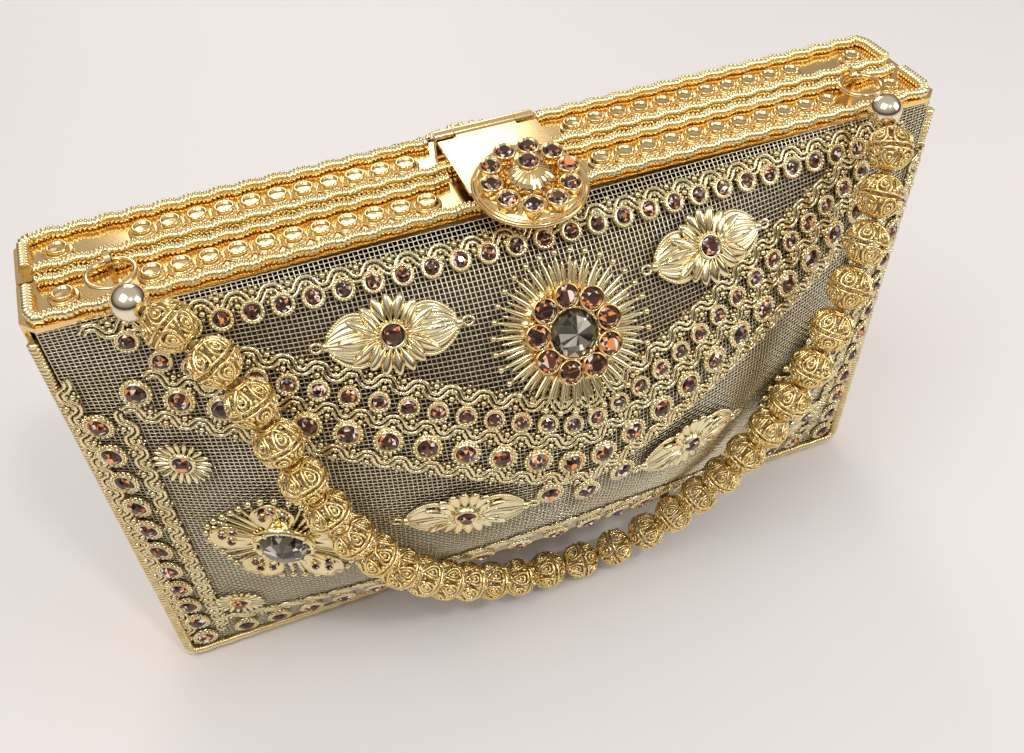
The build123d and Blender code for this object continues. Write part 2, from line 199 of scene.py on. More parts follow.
def facet_group() -> bpy.types.NodeTree:
    """Build the shared group that paints light and shade into a stone's facets: over the stone's own dark
    brown, random facets get painted shade or a lighter lit colour, a few get painted orange fire and the
    rarest a pale painted glint.

    Returns:
        A group that puts out a colour and the painted glow of the fire facets, for emission.
    """
    tree, entry, end = new_group(
        "facet_painted_sparkle",
        "ShaderNodeTree",
        [("Dark", "NodeSocketColor"), ("Body", "NodeSocketColor"), ("Painted Fire", "NodeSocketColor"),
         ("Painted Glint", "NodeSocketColor")],
        [("Color", "NodeSocketColor"), ("Painted Glow", "NodeSocketColor")],
    )
    coords = tree.nodes.new("ShaderNodeTexCoord").outputs["Object"]
    facet = tree.nodes.new("ShaderNodeAttribute")
    facet.attribute_name = "facet"
    cells = tree.nodes.new("ShaderNodeTexWhiteNoise")
    cells.noise_dimensions = "4D"
    snapped = tree.nodes.new("ShaderNodeVectorMath")
    snapped.operation = "SNAP"
    tree.links.new(coords, snapped.inputs[0])
    snapped.inputs[1].default_value = (0.004, 0.004, 0.004)
    tree.links.new(snapped.outputs[0], cells.inputs["Vector"])
    tree.links.new(facet.outputs["Fac"], cells.inputs["W"])
    chance = cells.outputs["Value"]
    # Partly the stone's own dark brown, partly painted shade and light: each facet is drawn darker or
    # lighter at random.
    body = blend_colors(tree, spread(tree, chance, 0.2, 0.75, 0.0, 1.0),
                        entry.outputs["Dark"], entry.outputs["Body"])
    # Painted fire: a few facets are coloured bright orange, as if light flashed in them.
    painted_fire = blend_colors(tree, spread(tree, chance, 0.79, 0.83, 0.0, 1.0), body, entry.outputs["Painted Fire"])
    # Painted highlight: the rarest facets get the pale glint colour.
    color = blend_colors(tree, spread(tree, chance, 0.91, 0.93, 0.0, 1.0), painted_fire, entry.outputs["Painted Glint"])
    tree.links.new(color, end.inputs["Color"])
    # Painted glow: the fire facets go to emission, so they shine with no lamp.
    painted_glow = blend_colors(tree, spread(tree, chance, 0.79, 0.83, 0.0, 1.0), (0.0, 0.0, 0.0), color)
    tree.links.new(painted_glow, end.inputs["Painted Glow"])
    return tree


def cloth_group() -> bpy.types.NodeTree:
    """Build the shared group for a fine twill: two crossing ribs with a soft cloud.

    Returns:
        A group that puts out a colour and a height.
    """
    tree, entry, end = new_group(
        "twill",
        "ShaderNodeTree",
        [("Color", "NodeSocketColor"), ("Light Color", "NodeSocketColor"), ("Threads", "NodeSocketFloat")],
        [("Color", "NodeSocketColor"), ("Height", "NodeSocketFloat")],
    )
    place = tree.nodes.new("ShaderNodeTexCoord").outputs["Object"]
    ribs = []
    for direction in ("X", "Z"):
        rib = tree.nodes.new("ShaderNodeTexWave")
        rib.bands_direction = direction
        rib.inputs["Distortion"].default_value = 0.4
        tree.links.new(place, rib.inputs["Vector"])
        tree.links.new(entry.outputs["Threads"], rib.inputs["Scale"])
        ribs.append(rib.outputs["Fac"])
    weave = tree.nodes.new("ShaderNodeMath")
    weave.operation = "MULTIPLY"
    tree.links.new(ribs[0], weave.inputs[0])
    tree.links.new(ribs[1], weave.inputs[1])
    cloud = noise(tree, place, 60.0, 4.0)
    color = blend_colors(tree, spread(tree, cloud, 0.35, 0.7, 0.0, 1.0),
                         entry.outputs["Color"], entry.outputs["Light Color"])
    tree.links.new(color, end.inputs["Color"])
    tree.links.new(weave.outputs[0], end.inputs["Height"])
    return tree


PATINA = patina_group()
FACETS = facet_group()
TWILL = cloth_group()


def principled(name: str, settings: dict[str, object]):
    """Make a material that holds one Principled shader.

    Args:
        name: Name of the material.
        settings: Constant values for the shader's sockets.

    Returns:
        The material, its tree and its Principled node.
    """
    material = bpy.data.materials.new(name)
    material.use_nodes = True
    tree = material.node_tree
    shader = tree.nodes["Principled BSDF"]
    set_inputs(shader, settings)
    return material, tree, shader


def shaded(name: str, settings: dict[str, object], shared: bpy.types.NodeTree,
           values: dict[str, object], links: dict[str, str]):
    """Make a Principled material fed by one of the shared groups.

    Args:
        name: Name of the material.
        settings: Constant values for the shader's sockets.
        shared: The shader group that feeds it.
        values: Values for the group's inputs. A colour gets its alpha here.
        links: Group outputs with the shader sockets they feed.

    Returns:
        The material, its tree, its Principled node and the group's node.
    """
    material, tree, shader = principled(name, settings)
    group = tree.nodes.new("ShaderNodeGroup")
    group.node_tree = shared
    set_inputs(group, {key: (*value, 1) if isinstance(value, tuple) else value
                       for key, value in values.items()})
    for output, socket in links.items():
        tree.links.new(group.outputs[output], shader.inputs[socket])
    return material, tree, shader, group


def link_bump(tree: bpy.types.NodeTree, shader: bpy.types.Node, height, strength: float,
              depth: float) -> None:
    """Feed a height through a Bump node to a shader's normal.

    Args:
        tree: The material's tree.
        shader: The Principled node.
        height: Output socket with the height.
        strength: Strength of the bump.
        depth: Distance of the bump in metres.
    """
    bump = tree.nodes.new("ShaderNodeBump")
    set_inputs(bump, {"Strength": strength, "Distance": depth})
    tree.links.new(height, bump.inputs["Height"])
    tree.links.new(bump.outputs["Normal"], shader.inputs["Normal"])


@dataclass(frozen=True)
class Gilding:
    """A plated metal finish."""

    name: str
    color: tuple[float, float, float]
    deep: tuple[float, float, float]
    roughness: float
    scale: float = 60.0
    scratch: float = 0.05

    def material(self) -> bpy.types.Material:
        """Build the finish.

        Returns:
            The node material.
        """
        material, tree, shader, group = shaded(
            self.name, {"Metallic": 1.0, "Specular IOR Level": 0.6}, PATINA,
            {"Color": self.color, "Deep Color": self.deep, "Roughness": self.roughness, "Scale": self.scale},
            {"Color": "Base Color", "Roughness": "Roughness"})
        link_bump(tree, shader, group.outputs["Height"], self.scratch, 0.05 * MM)
        return material


@dataclass(frozen=True)
class Crystal:
    """A foil-backed faceted stone."""

    name: str
    dark: tuple[float, float, float]
    body: tuple[float, float, float]
    # The fire and glint colours are painted light: orange fire and pale highlights on single facets.
    painted_fire: tuple[float, float, float]
    painted_glint: tuple[float, float, float]
    metallic: float = 0.2
    # Strength of the painted emission glow of the fire facets.
    painted_glow: float = 0.22

    def material(self) -> bpy.types.Material:
        """Build the finish.

        Returns:
            The node material.
        """
        # Emission Strength makes the painted fire facets glow with no lamp.
        settings = {"Metallic": self.metallic, "Roughness": 0.06, "IOR": 1.6, "Coat Weight": 0.3,
                    "Coat Roughness": 0.02, "Specular IOR Level": 0.45, "Emission Strength": self.painted_glow}
        values = {"Dark": self.dark, "Body": self.body, "Painted Fire": self.painted_fire, "Painted Glint": self.painted_glint}
        return shaded(self.name, settings, FACETS, values,
                      {"Color": "Base Color", "Painted Glow": "Emission Color"})[0]


@dataclass(frozen=True)
class Cloth:
    """A woven cloth finish."""

    name: str
    color: tuple[float, float, float]
    light: tuple[float, float, float]
    threads: float
    roughness: float = 0.7

    def material(self) -> bpy.types.Material:
        """Build the finish.

        Returns:
            The node material.
        """
        material, tree, shader, group = shaded(
            self.name, {"Roughness": self.roughness, "Sheen Weight": 0.08, "Sheen Roughness": 0.4}, TWILL,
            {"Color": self.color, "Light Color": self.light, "Threads": self.threads},
            {"Color": "Base Color"})
        link_bump(tree, shader, group.outputs["Height"], 0.4, 0.1 * MM)
        return material


WARM_GOLD = Gilding("warm_polished_gold", (0.91, 0.68, 0.34), (0.80, 0.50, 0.17), 0.12).material()
BEAD_GOLD = Gilding("filigree_gold", (1.0, 0.81, 0.40), (0.86, 0.57, 0.18), 0.15, 140.0).material()
PALE_GOLD = Gilding("champagne_gold", (0.93, 0.82, 0.52), (0.78, 0.60, 0.27), 0.13, 120.0).material()
MIRROR_GOLD = Gilding("mirror_gold", (0.90, 0.78, 0.46), (0.78, 0.60, 0.28), 0.05, 90.0).material()
CORD_GOLD = Gilding("gimp_gold", (0.97, 0.82, 0.46), (0.84, 0.60, 0.22), 0.20, 160.0).material()
WIRE_GOLD = Gilding("wire_gold", (1.0, 0.92, 0.70), (0.92, 0.78, 0.48), 0.30, 90.0).material()
STEEL = Gilding("dull_steel", (0.62, 0.60, 0.56), (0.45, 0.43, 0.40), 0.32, 80.0).material()
BALL_GOLD = Gilding("pale_ball_gold", (0.92, 0.83, 0.66), (0.80, 0.66, 0.42), 0.10, 80.0).material()
# The stones' third and fourth colours are painted light, orange fire and pale glint; SMOKE's last number is
# the strength of its painted emission glow.
TOPAZ = Crystal("topaz_stone", (0.020, 0.007, 0.005), (0.13, 0.048, 0.028), (0.80, 0.27, 0.07),
                (0.85, 0.72, 0.66)).material()
SMOKE = Crystal("smoky_stone", (0.030, 0.026, 0.018), (0.20, 0.18, 0.13), (0.55, 0.50, 0.42),
                (0.95, 0.92, 0.86), 0.5, 0.06).material()
BROWN_CLOTH = Cloth("brown_lining", (0.040, 0.018, 0.006), (0.085, 0.043, 0.017), 900.0).material()
STRING_CLOTH = Cloth("gold_string", (0.45, 0.30, 0.12), (0.6, 0.42, 0.2), 2500.0).material()

# ---------------------------------------------------------------- meshes


def solid(name: str, points, faces, material: bpy.types.Material, smooth: bool = False) -> bpy.types.Object:
    """Make a mesh object from points and faces.

    Args:
        name: Name of the piece.
        points: Vertex positions in metres.
        faces: Vertex index lists.
        material: Its finish.
        smooth: Whether its faces are shaded smooth.

    Returns:
        The object, linked to the scene.
    """
    mesh = bpy.data.meshes.new(name)
    mesh.from_pydata(np.asarray(points).tolist(), [], [list(map(int, face)) for face in faces])
    mesh.materials.append(material)
    mesh.update()
    if smooth:
        mesh.polygons.foreach_set("use_smooth", [True] * len(mesh.polygons))
    made = bpy.data.objects.new(name, mesh)
    bpy.context.scene.collection.objects.link(made)
    return made


def plain_mesh(made: bpy.types.Object) -> bpy.types.Object:
    """Turn an object's evaluated shape into its own plain mesh and drop its modifiers."""
    bpy.context.view_layer.update()
    graph = bpy.context.evaluated_depsgraph_get()
    mesh = bpy.data.meshes.new_from_object(made.evaluated_get(graph))
    made.modifiers.clear()
    made.data = mesh
    return made


def run_tree(made: bpy.types.Object, tree: bpy.types.NodeTree,
             values: dict[str, object]) -> bpy.types.Object:
    """Run a geometry tree on an object and keep the result as a plain mesh.

    Args:
        made: The object that carries the source geometry.
        tree: The geometry tree.
        values: Named inputs of the tree.

    Returns:
        The same object with its new mesh.
    """
    modifier = made.modifiers.new("make", "NODES")
    modifier.node_group = tree
    for item in tree.interface.items_tree:
        if item.in_out == "INPUT" and item.name in values:
            modifier[item.identifier] = values[item.name]
    return plain_mesh(made)


def geometry_tree(name: str, inputs: Sequence[tuple]):
    """Start a geometry tree with a geometry input, named inputs and a material input.

    Args:
        name: Name of the tree.
        inputs: Pairs of socket name and socket type.

    Returns:
        The tree, its input node and a function that closes it from a geometry socket.
    """
    sockets = [("Geometry", "NodeSocketGeometry"), *inputs, ("Material", "NodeSocketMaterial")]
    tree, entry, end = new_group(name, "GeometryNodeTree", sockets, [("Geometry", "NodeSocketGeometry")])

    def close(geometry) -> None:
        """Realize the instances, set the material and link the output."""
        real = tree.nodes.new("GeometryNodeRealizeInstances")
        paint = tree.nodes.new("GeometryNodeSetMaterial")
        tree.links.new(geometry, real.inputs["Geometry"])
        tree.links.new(real.outputs["Geometry"], paint.inputs["Geometry"])
        tree.links.new(entry.outputs["Material"], paint.inputs["Material"])
        tree.links.new(paint.outputs["Geometry"], end.inputs["Geometry"])

    return tree, entry, close


def swept(tree: bpy.types.NodeTree, curve, radius, sides) -> bpy.types.NodeSocket:
    """Sweep a unit circle of a linked resolution along curves, scaled to a radius.

    Args:
        tree: The geometry tree.
        curve: Output socket with the curves.
        radius: Output socket with the radius at each point of the curves.
        sides: Output socket with the number of sides.

    Returns:
        The swept mesh's output socket, shaded smooth.
    """
    ring = tree.nodes.new("GeometryNodeCurvePrimitiveCircle")
    ring.inputs["Radius"].default_value = 1.0
    tree.links.new(sides, ring.inputs["Resolution"])
    sweep = tree.nodes.new("GeometryNodeCurveToMesh")
    sweep.inputs["Fill Caps"].default_value = True
    tree.links.new(curve, sweep.inputs["Curve"])
    tree.links.new(radius, sweep.inputs["Scale"])
    tree.links.new(ring.outputs["Curve"], sweep.inputs["Profile Curve"])
    smooth = tree.nodes.new("GeometryNodeSetShadeSmooth")
    tree.links.new(sweep.outputs["Mesh"], smooth.inputs["Geometry"])
    return smooth.outputs["Geometry"]


def wire_tree() -> bpy.types.NodeTree:
    """Build the tree that turns edges into round wires of their "thick" radius.

    Returns:
        The geometry tree.
    """
    tree, entry, close = geometry_tree("wires", [("Sides", "NodeSocketInt")])
    curve = tree.nodes.new("GeometryNodeMeshToCurve")
    thick = tree.nodes.new("GeometryNodeInputNamedAttribute")
    thick.data_type = "FLOAT"
    thick.inputs["Name"].default_value = "thick"
    tree.links.new(entry.outputs["Geometry"], curve.inputs["Mesh"])
    close(swept(tree, curve.outputs["Curve"], thick.outputs["Attribute"], entry.outputs["Sides"]))
    return tree


def gimp_tree() -> bpy.types.NodeTree:
    """Build the tree that winds edges into a gimp cord: a tube with a round ridge for each turn.

    Returns:
        The geometry tree.
    """
    inputs = [("Core", "NodeSocketFloat"), ("Ridge", "NodeSocketFloat"), ("Turn", "NodeSocketFloat"),
              ("Steps", "NodeSocketInt"), ("Sides", "NodeSocketInt")]
    tree, entry, close = geometry_tree("gimp_cord", inputs)

    def math_node(operation: str, *values):
        """Add a math node fed by sockets and numbers."""
        node = tree.nodes.new("ShaderNodeMath")
        node.operation = operation
        for socket, value in zip(node.inputs, values):
            if isinstance(value, (int, float)):
                socket.default_value = value
            else:
                tree.links.new(value, socket)
        return node.outputs[0]

    curve = tree.nodes.new("GeometryNodeMeshToCurve")
    cut = tree.nodes.new("GeometryNodeResampleCurve")
    cut.mode = "LENGTH"
    tree.links.new(entry.outputs["Geometry"], curve.inputs["Mesh"])
    tree.links.new(curve.outputs["Curve"], cut.inputs["Curve"])
    steps = entry.outputs["Steps"]
    tree.links.new(math_node("DIVIDE", entry.outputs["Turn"], steps), cut.inputs["Length"])
    index = tree.nodes.new("GeometryNodeInputIndex").outputs[0]
    share = math_node("DIVIDE", math_node("MODULO", index, steps), steps)
    swell = math_node("SINE", math_node("MULTIPLY", share, math.pi))
    radius = math_node("MULTIPLY_ADD", swell, entry.outputs["Ridge"], entry.outputs["Core"])
    close(swept(tree, cut.outputs["Curve"], radius, entry.outputs["Sides"]))
    return tree


def setting_tree() -> bpy.types.NodeTree:
    """Build the tree that stands a piece on points, turned by "turn".

    Returns:
        The geometry tree.
    """
    tree, entry, close = geometry_tree("set_on_points", [("Piece", "NodeSocketObject")])
    points = tree.nodes.new("GeometryNodeMeshToPoints")
    info = tree.nodes.new("GeometryNodeObjectInfo")
    turn = tree.nodes.new("GeometryNodeInputNamedAttribute")
    turn.data_type = "QUATERNION"
    turn.inputs["Name"].default_value = "turn"
    copies = tree.nodes.new("GeometryNodeInstanceOnPoints")
    tree.links.new(entry.outputs["Geometry"], points.inputs["Mesh"])
    tree.links.new(entry.outputs["Piece"], info.inputs["Object"])
    tree.links.new(points.outputs["Points"], copies.inputs["Points"])
    tree.links.new(info.outputs["Geometry"], copies.inputs["Instance"])
    tree.links.new(turn.outputs["Attribute"], copies.inputs["Rotation"])
    close(copies.outputs["Instances"])
    return tree


WIRES = wire_tree()
GIMP = gimp_tree()
SET_ON_POINTS = setting_tree()


@dataclass
class Runs:
    """Lines of points in metres, each with the radius of its wire."""

    lines: list[Array]
    thick: list[float]

    def object(self, name: str) -> bpy.types.Object:
        """Make a mesh of edges with a "thick" attribute for the wire and cord trees."""
        mesh = bpy.data.meshes.new(name)
        starts = np.cumsum([0] + [len(line) for line in self.lines])
        edges = [np.stack([np.arange(a, b - 1), np.arange(a + 1, b)], 1)
                 for a, b in zip(starts, starts[1:])]
        mesh.from_pydata(np.concatenate(self.lines).tolist(), np.concatenate(edges).tolist(), [])
        values = np.repeat(self.thick, [len(line) for line in self.lines])
        mesh.attributes.new("thick", "FLOAT", "POINT").data.foreach_set("value", values)
        made = bpy.data.objects.new(name, mesh)
        bpy.context.scene.collection.objects.link(made)
        return made


def wires(name: str, lines: Sequence[Array], thick, material: bpy.types.Material, sides: int = 4):
    """Make round wires along lines of points.

    Args:
        name: Name of the piece.
        lines: Arrays of points in metres. A line whose ends meet is closed by its points.
        thick: One radius in metres, or one for each line.
        material: Finish of the wires.
        sides: Number of sides of each wire.

    Returns:
        The finished piece.
    """
    radii = [thick] * len(lines) if isinstance(thick, float) else list(thick)
    made = Runs(list(lines), radii).object(name)
    return run_tree(made, WIRES, {"Sides": sides, "Material": material})


def gimp(name: str, lines: Sequence[Array], core: float, ridge: float, turn: float,
         material: bpy.types.Material, steps: int = 4, sides: int = 8) -> bpy.types.Object:
    """Make gimp cords, wound with fine metal thread, along lines of points.

    Args:
        name: Name of the piece.
        lines: Arrays of points in metres.
        core: Radius between the turns in metres.
        ridge: How far each turn stands out in metres.
        turn: Pitch of the winding in metres.
        material: Finish of the cord.
        steps: Cross-sections for each turn.
        sides: Number of sides of the tube.

    Returns:
        The finished piece.
    """
    made = Runs(list(lines), [core] * len(lines)).object(name)
    values = {"Core": core, "Ridge": ridge, "Turn": turn, "Steps": steps, "Sides": sides,
              "Material": material}
    return run_tree(made, GIMP, values)


@dataclass
class Seats:
    """Places for repeated pieces: origins with right, up and outward directions."""

    at: Array
    right: Array
    up: Array
    out: Array

    def one(self, index: int) -> "Seats":
        """Return one of the seats by its index."""
        pick = slice(index, index + 1)
        return Seats(self.at[pick], self.right[pick], self.up[pick], self.out[pick])

    def lifted(self, height: float) -> "Seats":
        """Return the same seats, moved outward by a height in metres."""
        return Seats(self.at + self.out * height, self.right, self.up, self.out)

    def shifted(self, x: float, y: float) -> "Seats":
        """Return the same seats, moved by x along right and y along up, in metres."""
        return Seats(self.at + self.right * x + self.up * y, self.right, self.up, self.out)

    def spun(self, angle: float) -> "Seats":
        """Return the same seats, turned about their outward direction by an angle in radians."""
        c, s = math.cos(angle), math.sin(angle)
        return Seats(self.at, self.right * c + self.up * s, self.up * c - self.right * s, self.out)

    def ring(self, count: int, radius: float, start: float = 0.0) -> "Seats":
        """Return seats on a circle about each seat, each with its up direction pointing outward.

        Args:
            count: Seats on each circle.
            radius: Radius of the circle in metres.
            start: Angle of the first seat in radians.

        Returns:
            All the seats together.
        """
        parts = [self.spun(start + TAU * i / count).shifted(0.0, radius) for i in range(count)]
        return join_seats(parts)

    def world(self, local: Array) -> list[Array]:
        """Return local points (n, 3) in metres placed at every seat."""
        return [a + np.outer(local[:, 0], r) + np.outer(local[:, 1], u) + np.outer(local[:, 2], o)
                for a, r, u, o in zip(self.at, self.right, self.up, self.out)]


def join_seats(parts: Sequence[Seats]) -> Seats:
    """Join several sets of seats into one."""
    return Seats(*[np.concatenate([getattr(part, key) for part in parts])
                   for key in ("at", "right", "up", "out")])


def set_pieces(name: str, template: bpy.types.Object, seats: Seats) -> bpy.types.Object:
    """Stand copies of a template on seats and join them into one piece.

    Args:
        name: Name of the piece.
        template: Object that is repeated, outward along its +Z, in its first finish. It is used up.
        seats: Where the copies go.

    Returns:
        The finished piece.
    """
    mesh = bpy.data.meshes.new(name)
    mesh.from_pydata(seats.at.tolist(), [], [])
    turns = []
    for right, up, out in zip(seats.right, seats.up, seats.out):
        basis = Matrix((right, up, out)).transposed()
        turns.extend(basis.to_quaternion())
    mesh.attributes.new("turn", "QUATERNION", "POINT").data.foreach_set("value", turns)
    made = bpy.data.objects.new(name, mesh)
    bpy.context.scene.collection.objects.link(made)
    run_tree(made, SET_ON_POINTS, {"Piece": template, "Material": template.data.materials[0]})
    bpy.data.objects.remove(template)
    return made


def lathe(profile: Sequence[tuple[float, float]], sides: int, material: bpy.types.Material,
          flute: float = 0.0, smooth: bool = False) -> bpy.types.Object:
    """Turn a closed-off profile of (radius, height) in millimetres about +Z.

    Args:
        profile: Points from the axis at the bottom to the axis at the top.
        sides: Steps round the axis.
        material: Its finish.
        flute: Share by which every other step is drawn in.
        smooth: Whether it is shaded smooth.

    Returns:
        The object.
    """
    points: list[tuple[float, float, float]] = []
    rings: list[list[int]] = []
    for radius, height in profile:
        if radius == 0:
            rings.append([len(points)] * sides)
            points.append((0.0, 0.0, height * MM))
            continue
        rings.append(list(range(len(points), len(points) + sides)))
        for i in range(sides):
            reach = radius * MM * (1 - flute * (i % 2))
            angle = TAU * i / sides
            points.append((reach * math.cos(angle), reach * math.sin(angle), height * MM))
    faces = []
    for low, high in zip(rings, rings[1:]):
        for i in range(sides):
            j = (i + 1) % sides
            corners = [low[i], low[j], high[j], high[i]]
            faces.append(list(dict.fromkeys(corners)))
    return solid("turned", points, faces, material, smooth)


def chaton(radius: float, height: float, table: float, sides: int = 8,
           material: bpy.types.Material = TOPAZ) -> bpy.types.Object:
    """Cut a faceted stone: girdle, two rows of facets and a table, each facet numbered.

    Args:
        radius: Girdle radius in millimetres.
        height: Height of the crown in millimetres.
        table: Radius of the table in millimetres, 0 for a pointed stone.
        sides: Main facets round the stone.
        material: Its finish.

    Returns:
        The object, with a "facet" number on each face.
    """
    points = [(0.0, 0.0, -0.5 * height * MM)]
    steps = ((radius, 0.0, 0.0), (radius * 0.74, height * 0.55, 0.5), (table, height, 0.0))
    for reach, level, shift in steps[: 3 if table else 2]:
        for i in range(sides):
            angle = TAU * (i + shift) / sides
            points.append((reach * MM * math.cos(angle), reach * MM * math.sin(angle), level * MM))
    girdle, middle, top = ([1 + sides * k + i for i in range(sides)] for k in range(3))
    faces = [(0, girdle[(i + 1) % sides], girdle[i]) for i in range(sides)]
    for i in range(sides):
        j = (i + 1) % sides
        faces.append((girdle[i], girdle[j], middle[i]))
        faces.append((middle[i], girdle[j], middle[j]))
    if table:
        for i in range(sides):
            j = (i + 1) % sides
            faces.append((middle[i], top[j], top[i]))
            faces.append((middle[i], middle[j], top[j]))
        faces.append(tuple(top))
    else:
        points.append((0.0, 0.0, height * MM))
        for i in range(sides):
            faces.append((middle[i], middle[(i + 1) % sides], len(points) - 1))
    made = solid("stone", points, faces, material)
    numbers = made.data.attributes.new("facet", "FLOAT", "FACE")
    numbers.data.foreach_set("value", [0.37 * i + 0.11 * radius for i in range(len(faces))])
    return made


def ball(radius: float, material: bpy.types.Material, rings: int = 4, sides: int = 6):
    """Make a small round bead of a few dozen faces, its radius in millimetres."""
    profile = [(radius * math.sin(math.pi * i / rings), -radius * math.cos(math.pi * i / rings))
               for i in range(1, rings)]
    return lathe([(0, -radius), *profile, (0, radius)], sides, material, smooth=True)


def joined(name: str, parts: Sequence[bpy.types.Object]) -> bpy.types.Object:
    """Join several meshes into one object named after the piece.

    Args:
        name: Name of the joined piece.
        parts: The objects, which are used up.

    Returns:
        The joined object.
    """
    bpy.ops.object.select_all(action="DESELECT")
    for part in parts:
        part.select_set(True)
    bpy.context.view_layer.objects.active = parts[0]
    bpy.ops.object.join()
    parts[0].name = name
    parts[0].data.name = name
    return parts[0]


def loop(points: Sequence[tuple[float, float]], height: float = 0.0) -> Array:
    """Close a line of (x, y) points in millimetres at a height, as metres."""
    closed = [*points, points[0]]
    return np.array([(x * MM, y * MM, height * MM) for x, y in closed])


def place(piece: bpy.types.Object, body: str, slot: str, *nodes: str) -> bpy.types.Object:
    """Ride a finished piece on its body and hide the CAD nodes it shows.

    Args:
        piece: The finished piece.
        body: CAD body that carries it.
        slot: Not used.
        *nodes: CAD nodes that the piece stands for.

    Returns:
        The piece.
    """
    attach(piece, body)
    if nodes:
        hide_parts(*nodes)
    log.info("%s rides on %s with %d faces", piece.name, body, len(piece.data.polygons))
    return piece


# ---------------------------------------------------------------- shape of the halves


@dataclass(frozen=True)
class Dome:
    """Outer face of one half: a slanted rim with a dome inside it, in millimetres."""

    half_length: float = 110.0
    height: float = 132.0
    top_depth: float = 16.5
    foot_depth: float = 9.0
    bulge: float = 36.0
    fall: float = 1.64
    rise: float = 0.75
    lift: float = 1.21
    reach: float = 107.6

    def rim(self, z: Array) -> Array:
        """Depth of the flat rim at heights z."""
        return self.foot_depth + (self.top_depth - self.foot_depth) * z / self.height

    def y(self, x: Array, z: Array) -> Array:
        """Outer face of the front half at x and z."""
        along = np.minimum(np.abs(x) / self.half_length, 1)
        up = np.clip(z / self.height, 0, 1)
        crown = np.maximum(np.sin(math.pi * up ** self.lift), 0) ** self.rise
        return -self.rim(z) - self.bulge * (1 - along ** self.fall) * crown

    def seats(self, x: Array, z: Array, lift: float | Array = 0.0) -> Seats:
        """Find seats on the front half's outer face.

        Args:
            x: Positions along the length.
            z: Heights.
            lift: How far the seats stand out of the face.

        Returns:
            Seats in metres with their right direction level.
        """
        x, z = np.broadcast_arrays(np.asarray(x, float), np.asarray(z, float))
        d = 0.2
        slope_x = (self.y(x + d, z) - self.y(x - d, z)) / (2 * d)
        slope_z = (self.y(x, z + d) - self.y(x, z - d)) / (2 * d)
        out = np.stack([slope_x, -np.ones_like(x), slope_z], 1)
        out /= np.linalg.norm(out, axis=1)[:, None]
        right = np.stack([np.ones_like(x), slope_x, np.zeros_like(x)], 1)
        right /= np.linalg.norm(right, axis=1)[:, None]
        at = np.stack([x, self.y(x, z), z], 1) + out * np.reshape(lift, (-1, 1))
        return Seats(at * MM, right, np.cross(out, right), out)

    def climbed(self, x: Array, z: Array, distance: float) -> Array:
        """Heights reached by going up the face by a distance along its surface.

        Args:
            x: Positions along the length, which stay.
            z: Heights to start from.
            distance: Way along the surface, down where it is negative.

        Returns:
            The new heights.
        """
        for _ in range(16):
            slope = (self.y(x, z + 0.1) - self.y(x, z - 0.1)) / 0.2
            z = z + distance / 16 / np.sqrt(1 + slope ** 2)
        return z

    def run(self, x: Array, z: Array, step: float, lift: float = 0.0) -> Seats:
        """Lay evenly spaced seats along a line on the face.

        Args:
            x: Positions of the line's points.
            z: Heights of the line's points.
            step: Distance between the seats.
            lift: How far the seats stand out.

        Returns:
            Seats with their right direction along the line.
        """
        fine = np.linspace(0, len(x) - 1, 40 * len(x))
        index = np.arange(len(x))
        x, z = np.interp(fine, index, x), np.interp(fine, index, z)
        at = self.seats(x, z).at / MM
        way = np.concatenate([[0], np.cumsum(np.linalg.norm(np.diff(at, axis=0), axis=1))])
        even = np.linspace(0, way[-1], max(2, round(way[-1] / step) + 1))
        seats = self.seats(np.interp(even, way, x), np.interp(even, way, z), lift)
        along = np.gradient(seats.at, axis=0)
        along -= seats.out * np.sum(along * seats.out, axis=1)[:, None]
        along /= np.linalg.norm(along, axis=1)[:, None]
        return Seats(seats.at, along, np.cross(seats.out, along), seats.out)


@dataclass(frozen=True)
class Half:
    """One half of the bag. The back is the front turned half round about the vertical."""

    side: Side
    dome: Dome = Dome()

    def turned(self, points: Array) -> Array:
        """Points or directions of the front half, as they stand on this one."""
        return points * (1 if self.side is Side.FRONT else np.array([-1.0, -1.0, 1.0]))

    def turned_seats(self, seats: Seats) -> Seats:
        """Seats of the front half, as they stand on this one."""
        return Seats(*[self.turned(part) for part in (seats.at, seats.right, seats.up, seats.out)])

    def seats(self, places: Sequence[tuple[float, float]], lift: float = 0.15) -> Seats:
        """Seats on this half at (x, z) places in millimetres."""
        x, z = np.array(places, float).T
        return self.turned_seats(self.dome.seats(x, z, lift))

    def name(self, part: str) -> str:
        """Name of a piece or a CAD node of this half."""
        return f"{self.side.value}_{part}"

    def place(self, piece: bpy.types.Object, slot: str, *parts: str) -> bpy.types.Object:
        """Ride a piece on this half in place of its CAD parts."""
        return place(piece, self.side.body, slot, *[self.name(part) for part in parts])


def mirrored_row(step: float, count: int, height: Callable[[float], float]) -> list[tuple[float, float]]:
    """Places at x = 0 and at each step either side, with heights from a formula."""
    return [(i * step, height(abs(i * step))) for i in range(-count, count + 1)]


def half_step_row(step: float, count: int, height: Callable[[float], float]) -> list[tuple[float, float]]:
    """Places half a step either side of the middle and on, with heights from a formula."""
    return [((i + 0.5) * step, height(abs((i + 0.5) * step))) for i in range(-count, count)]


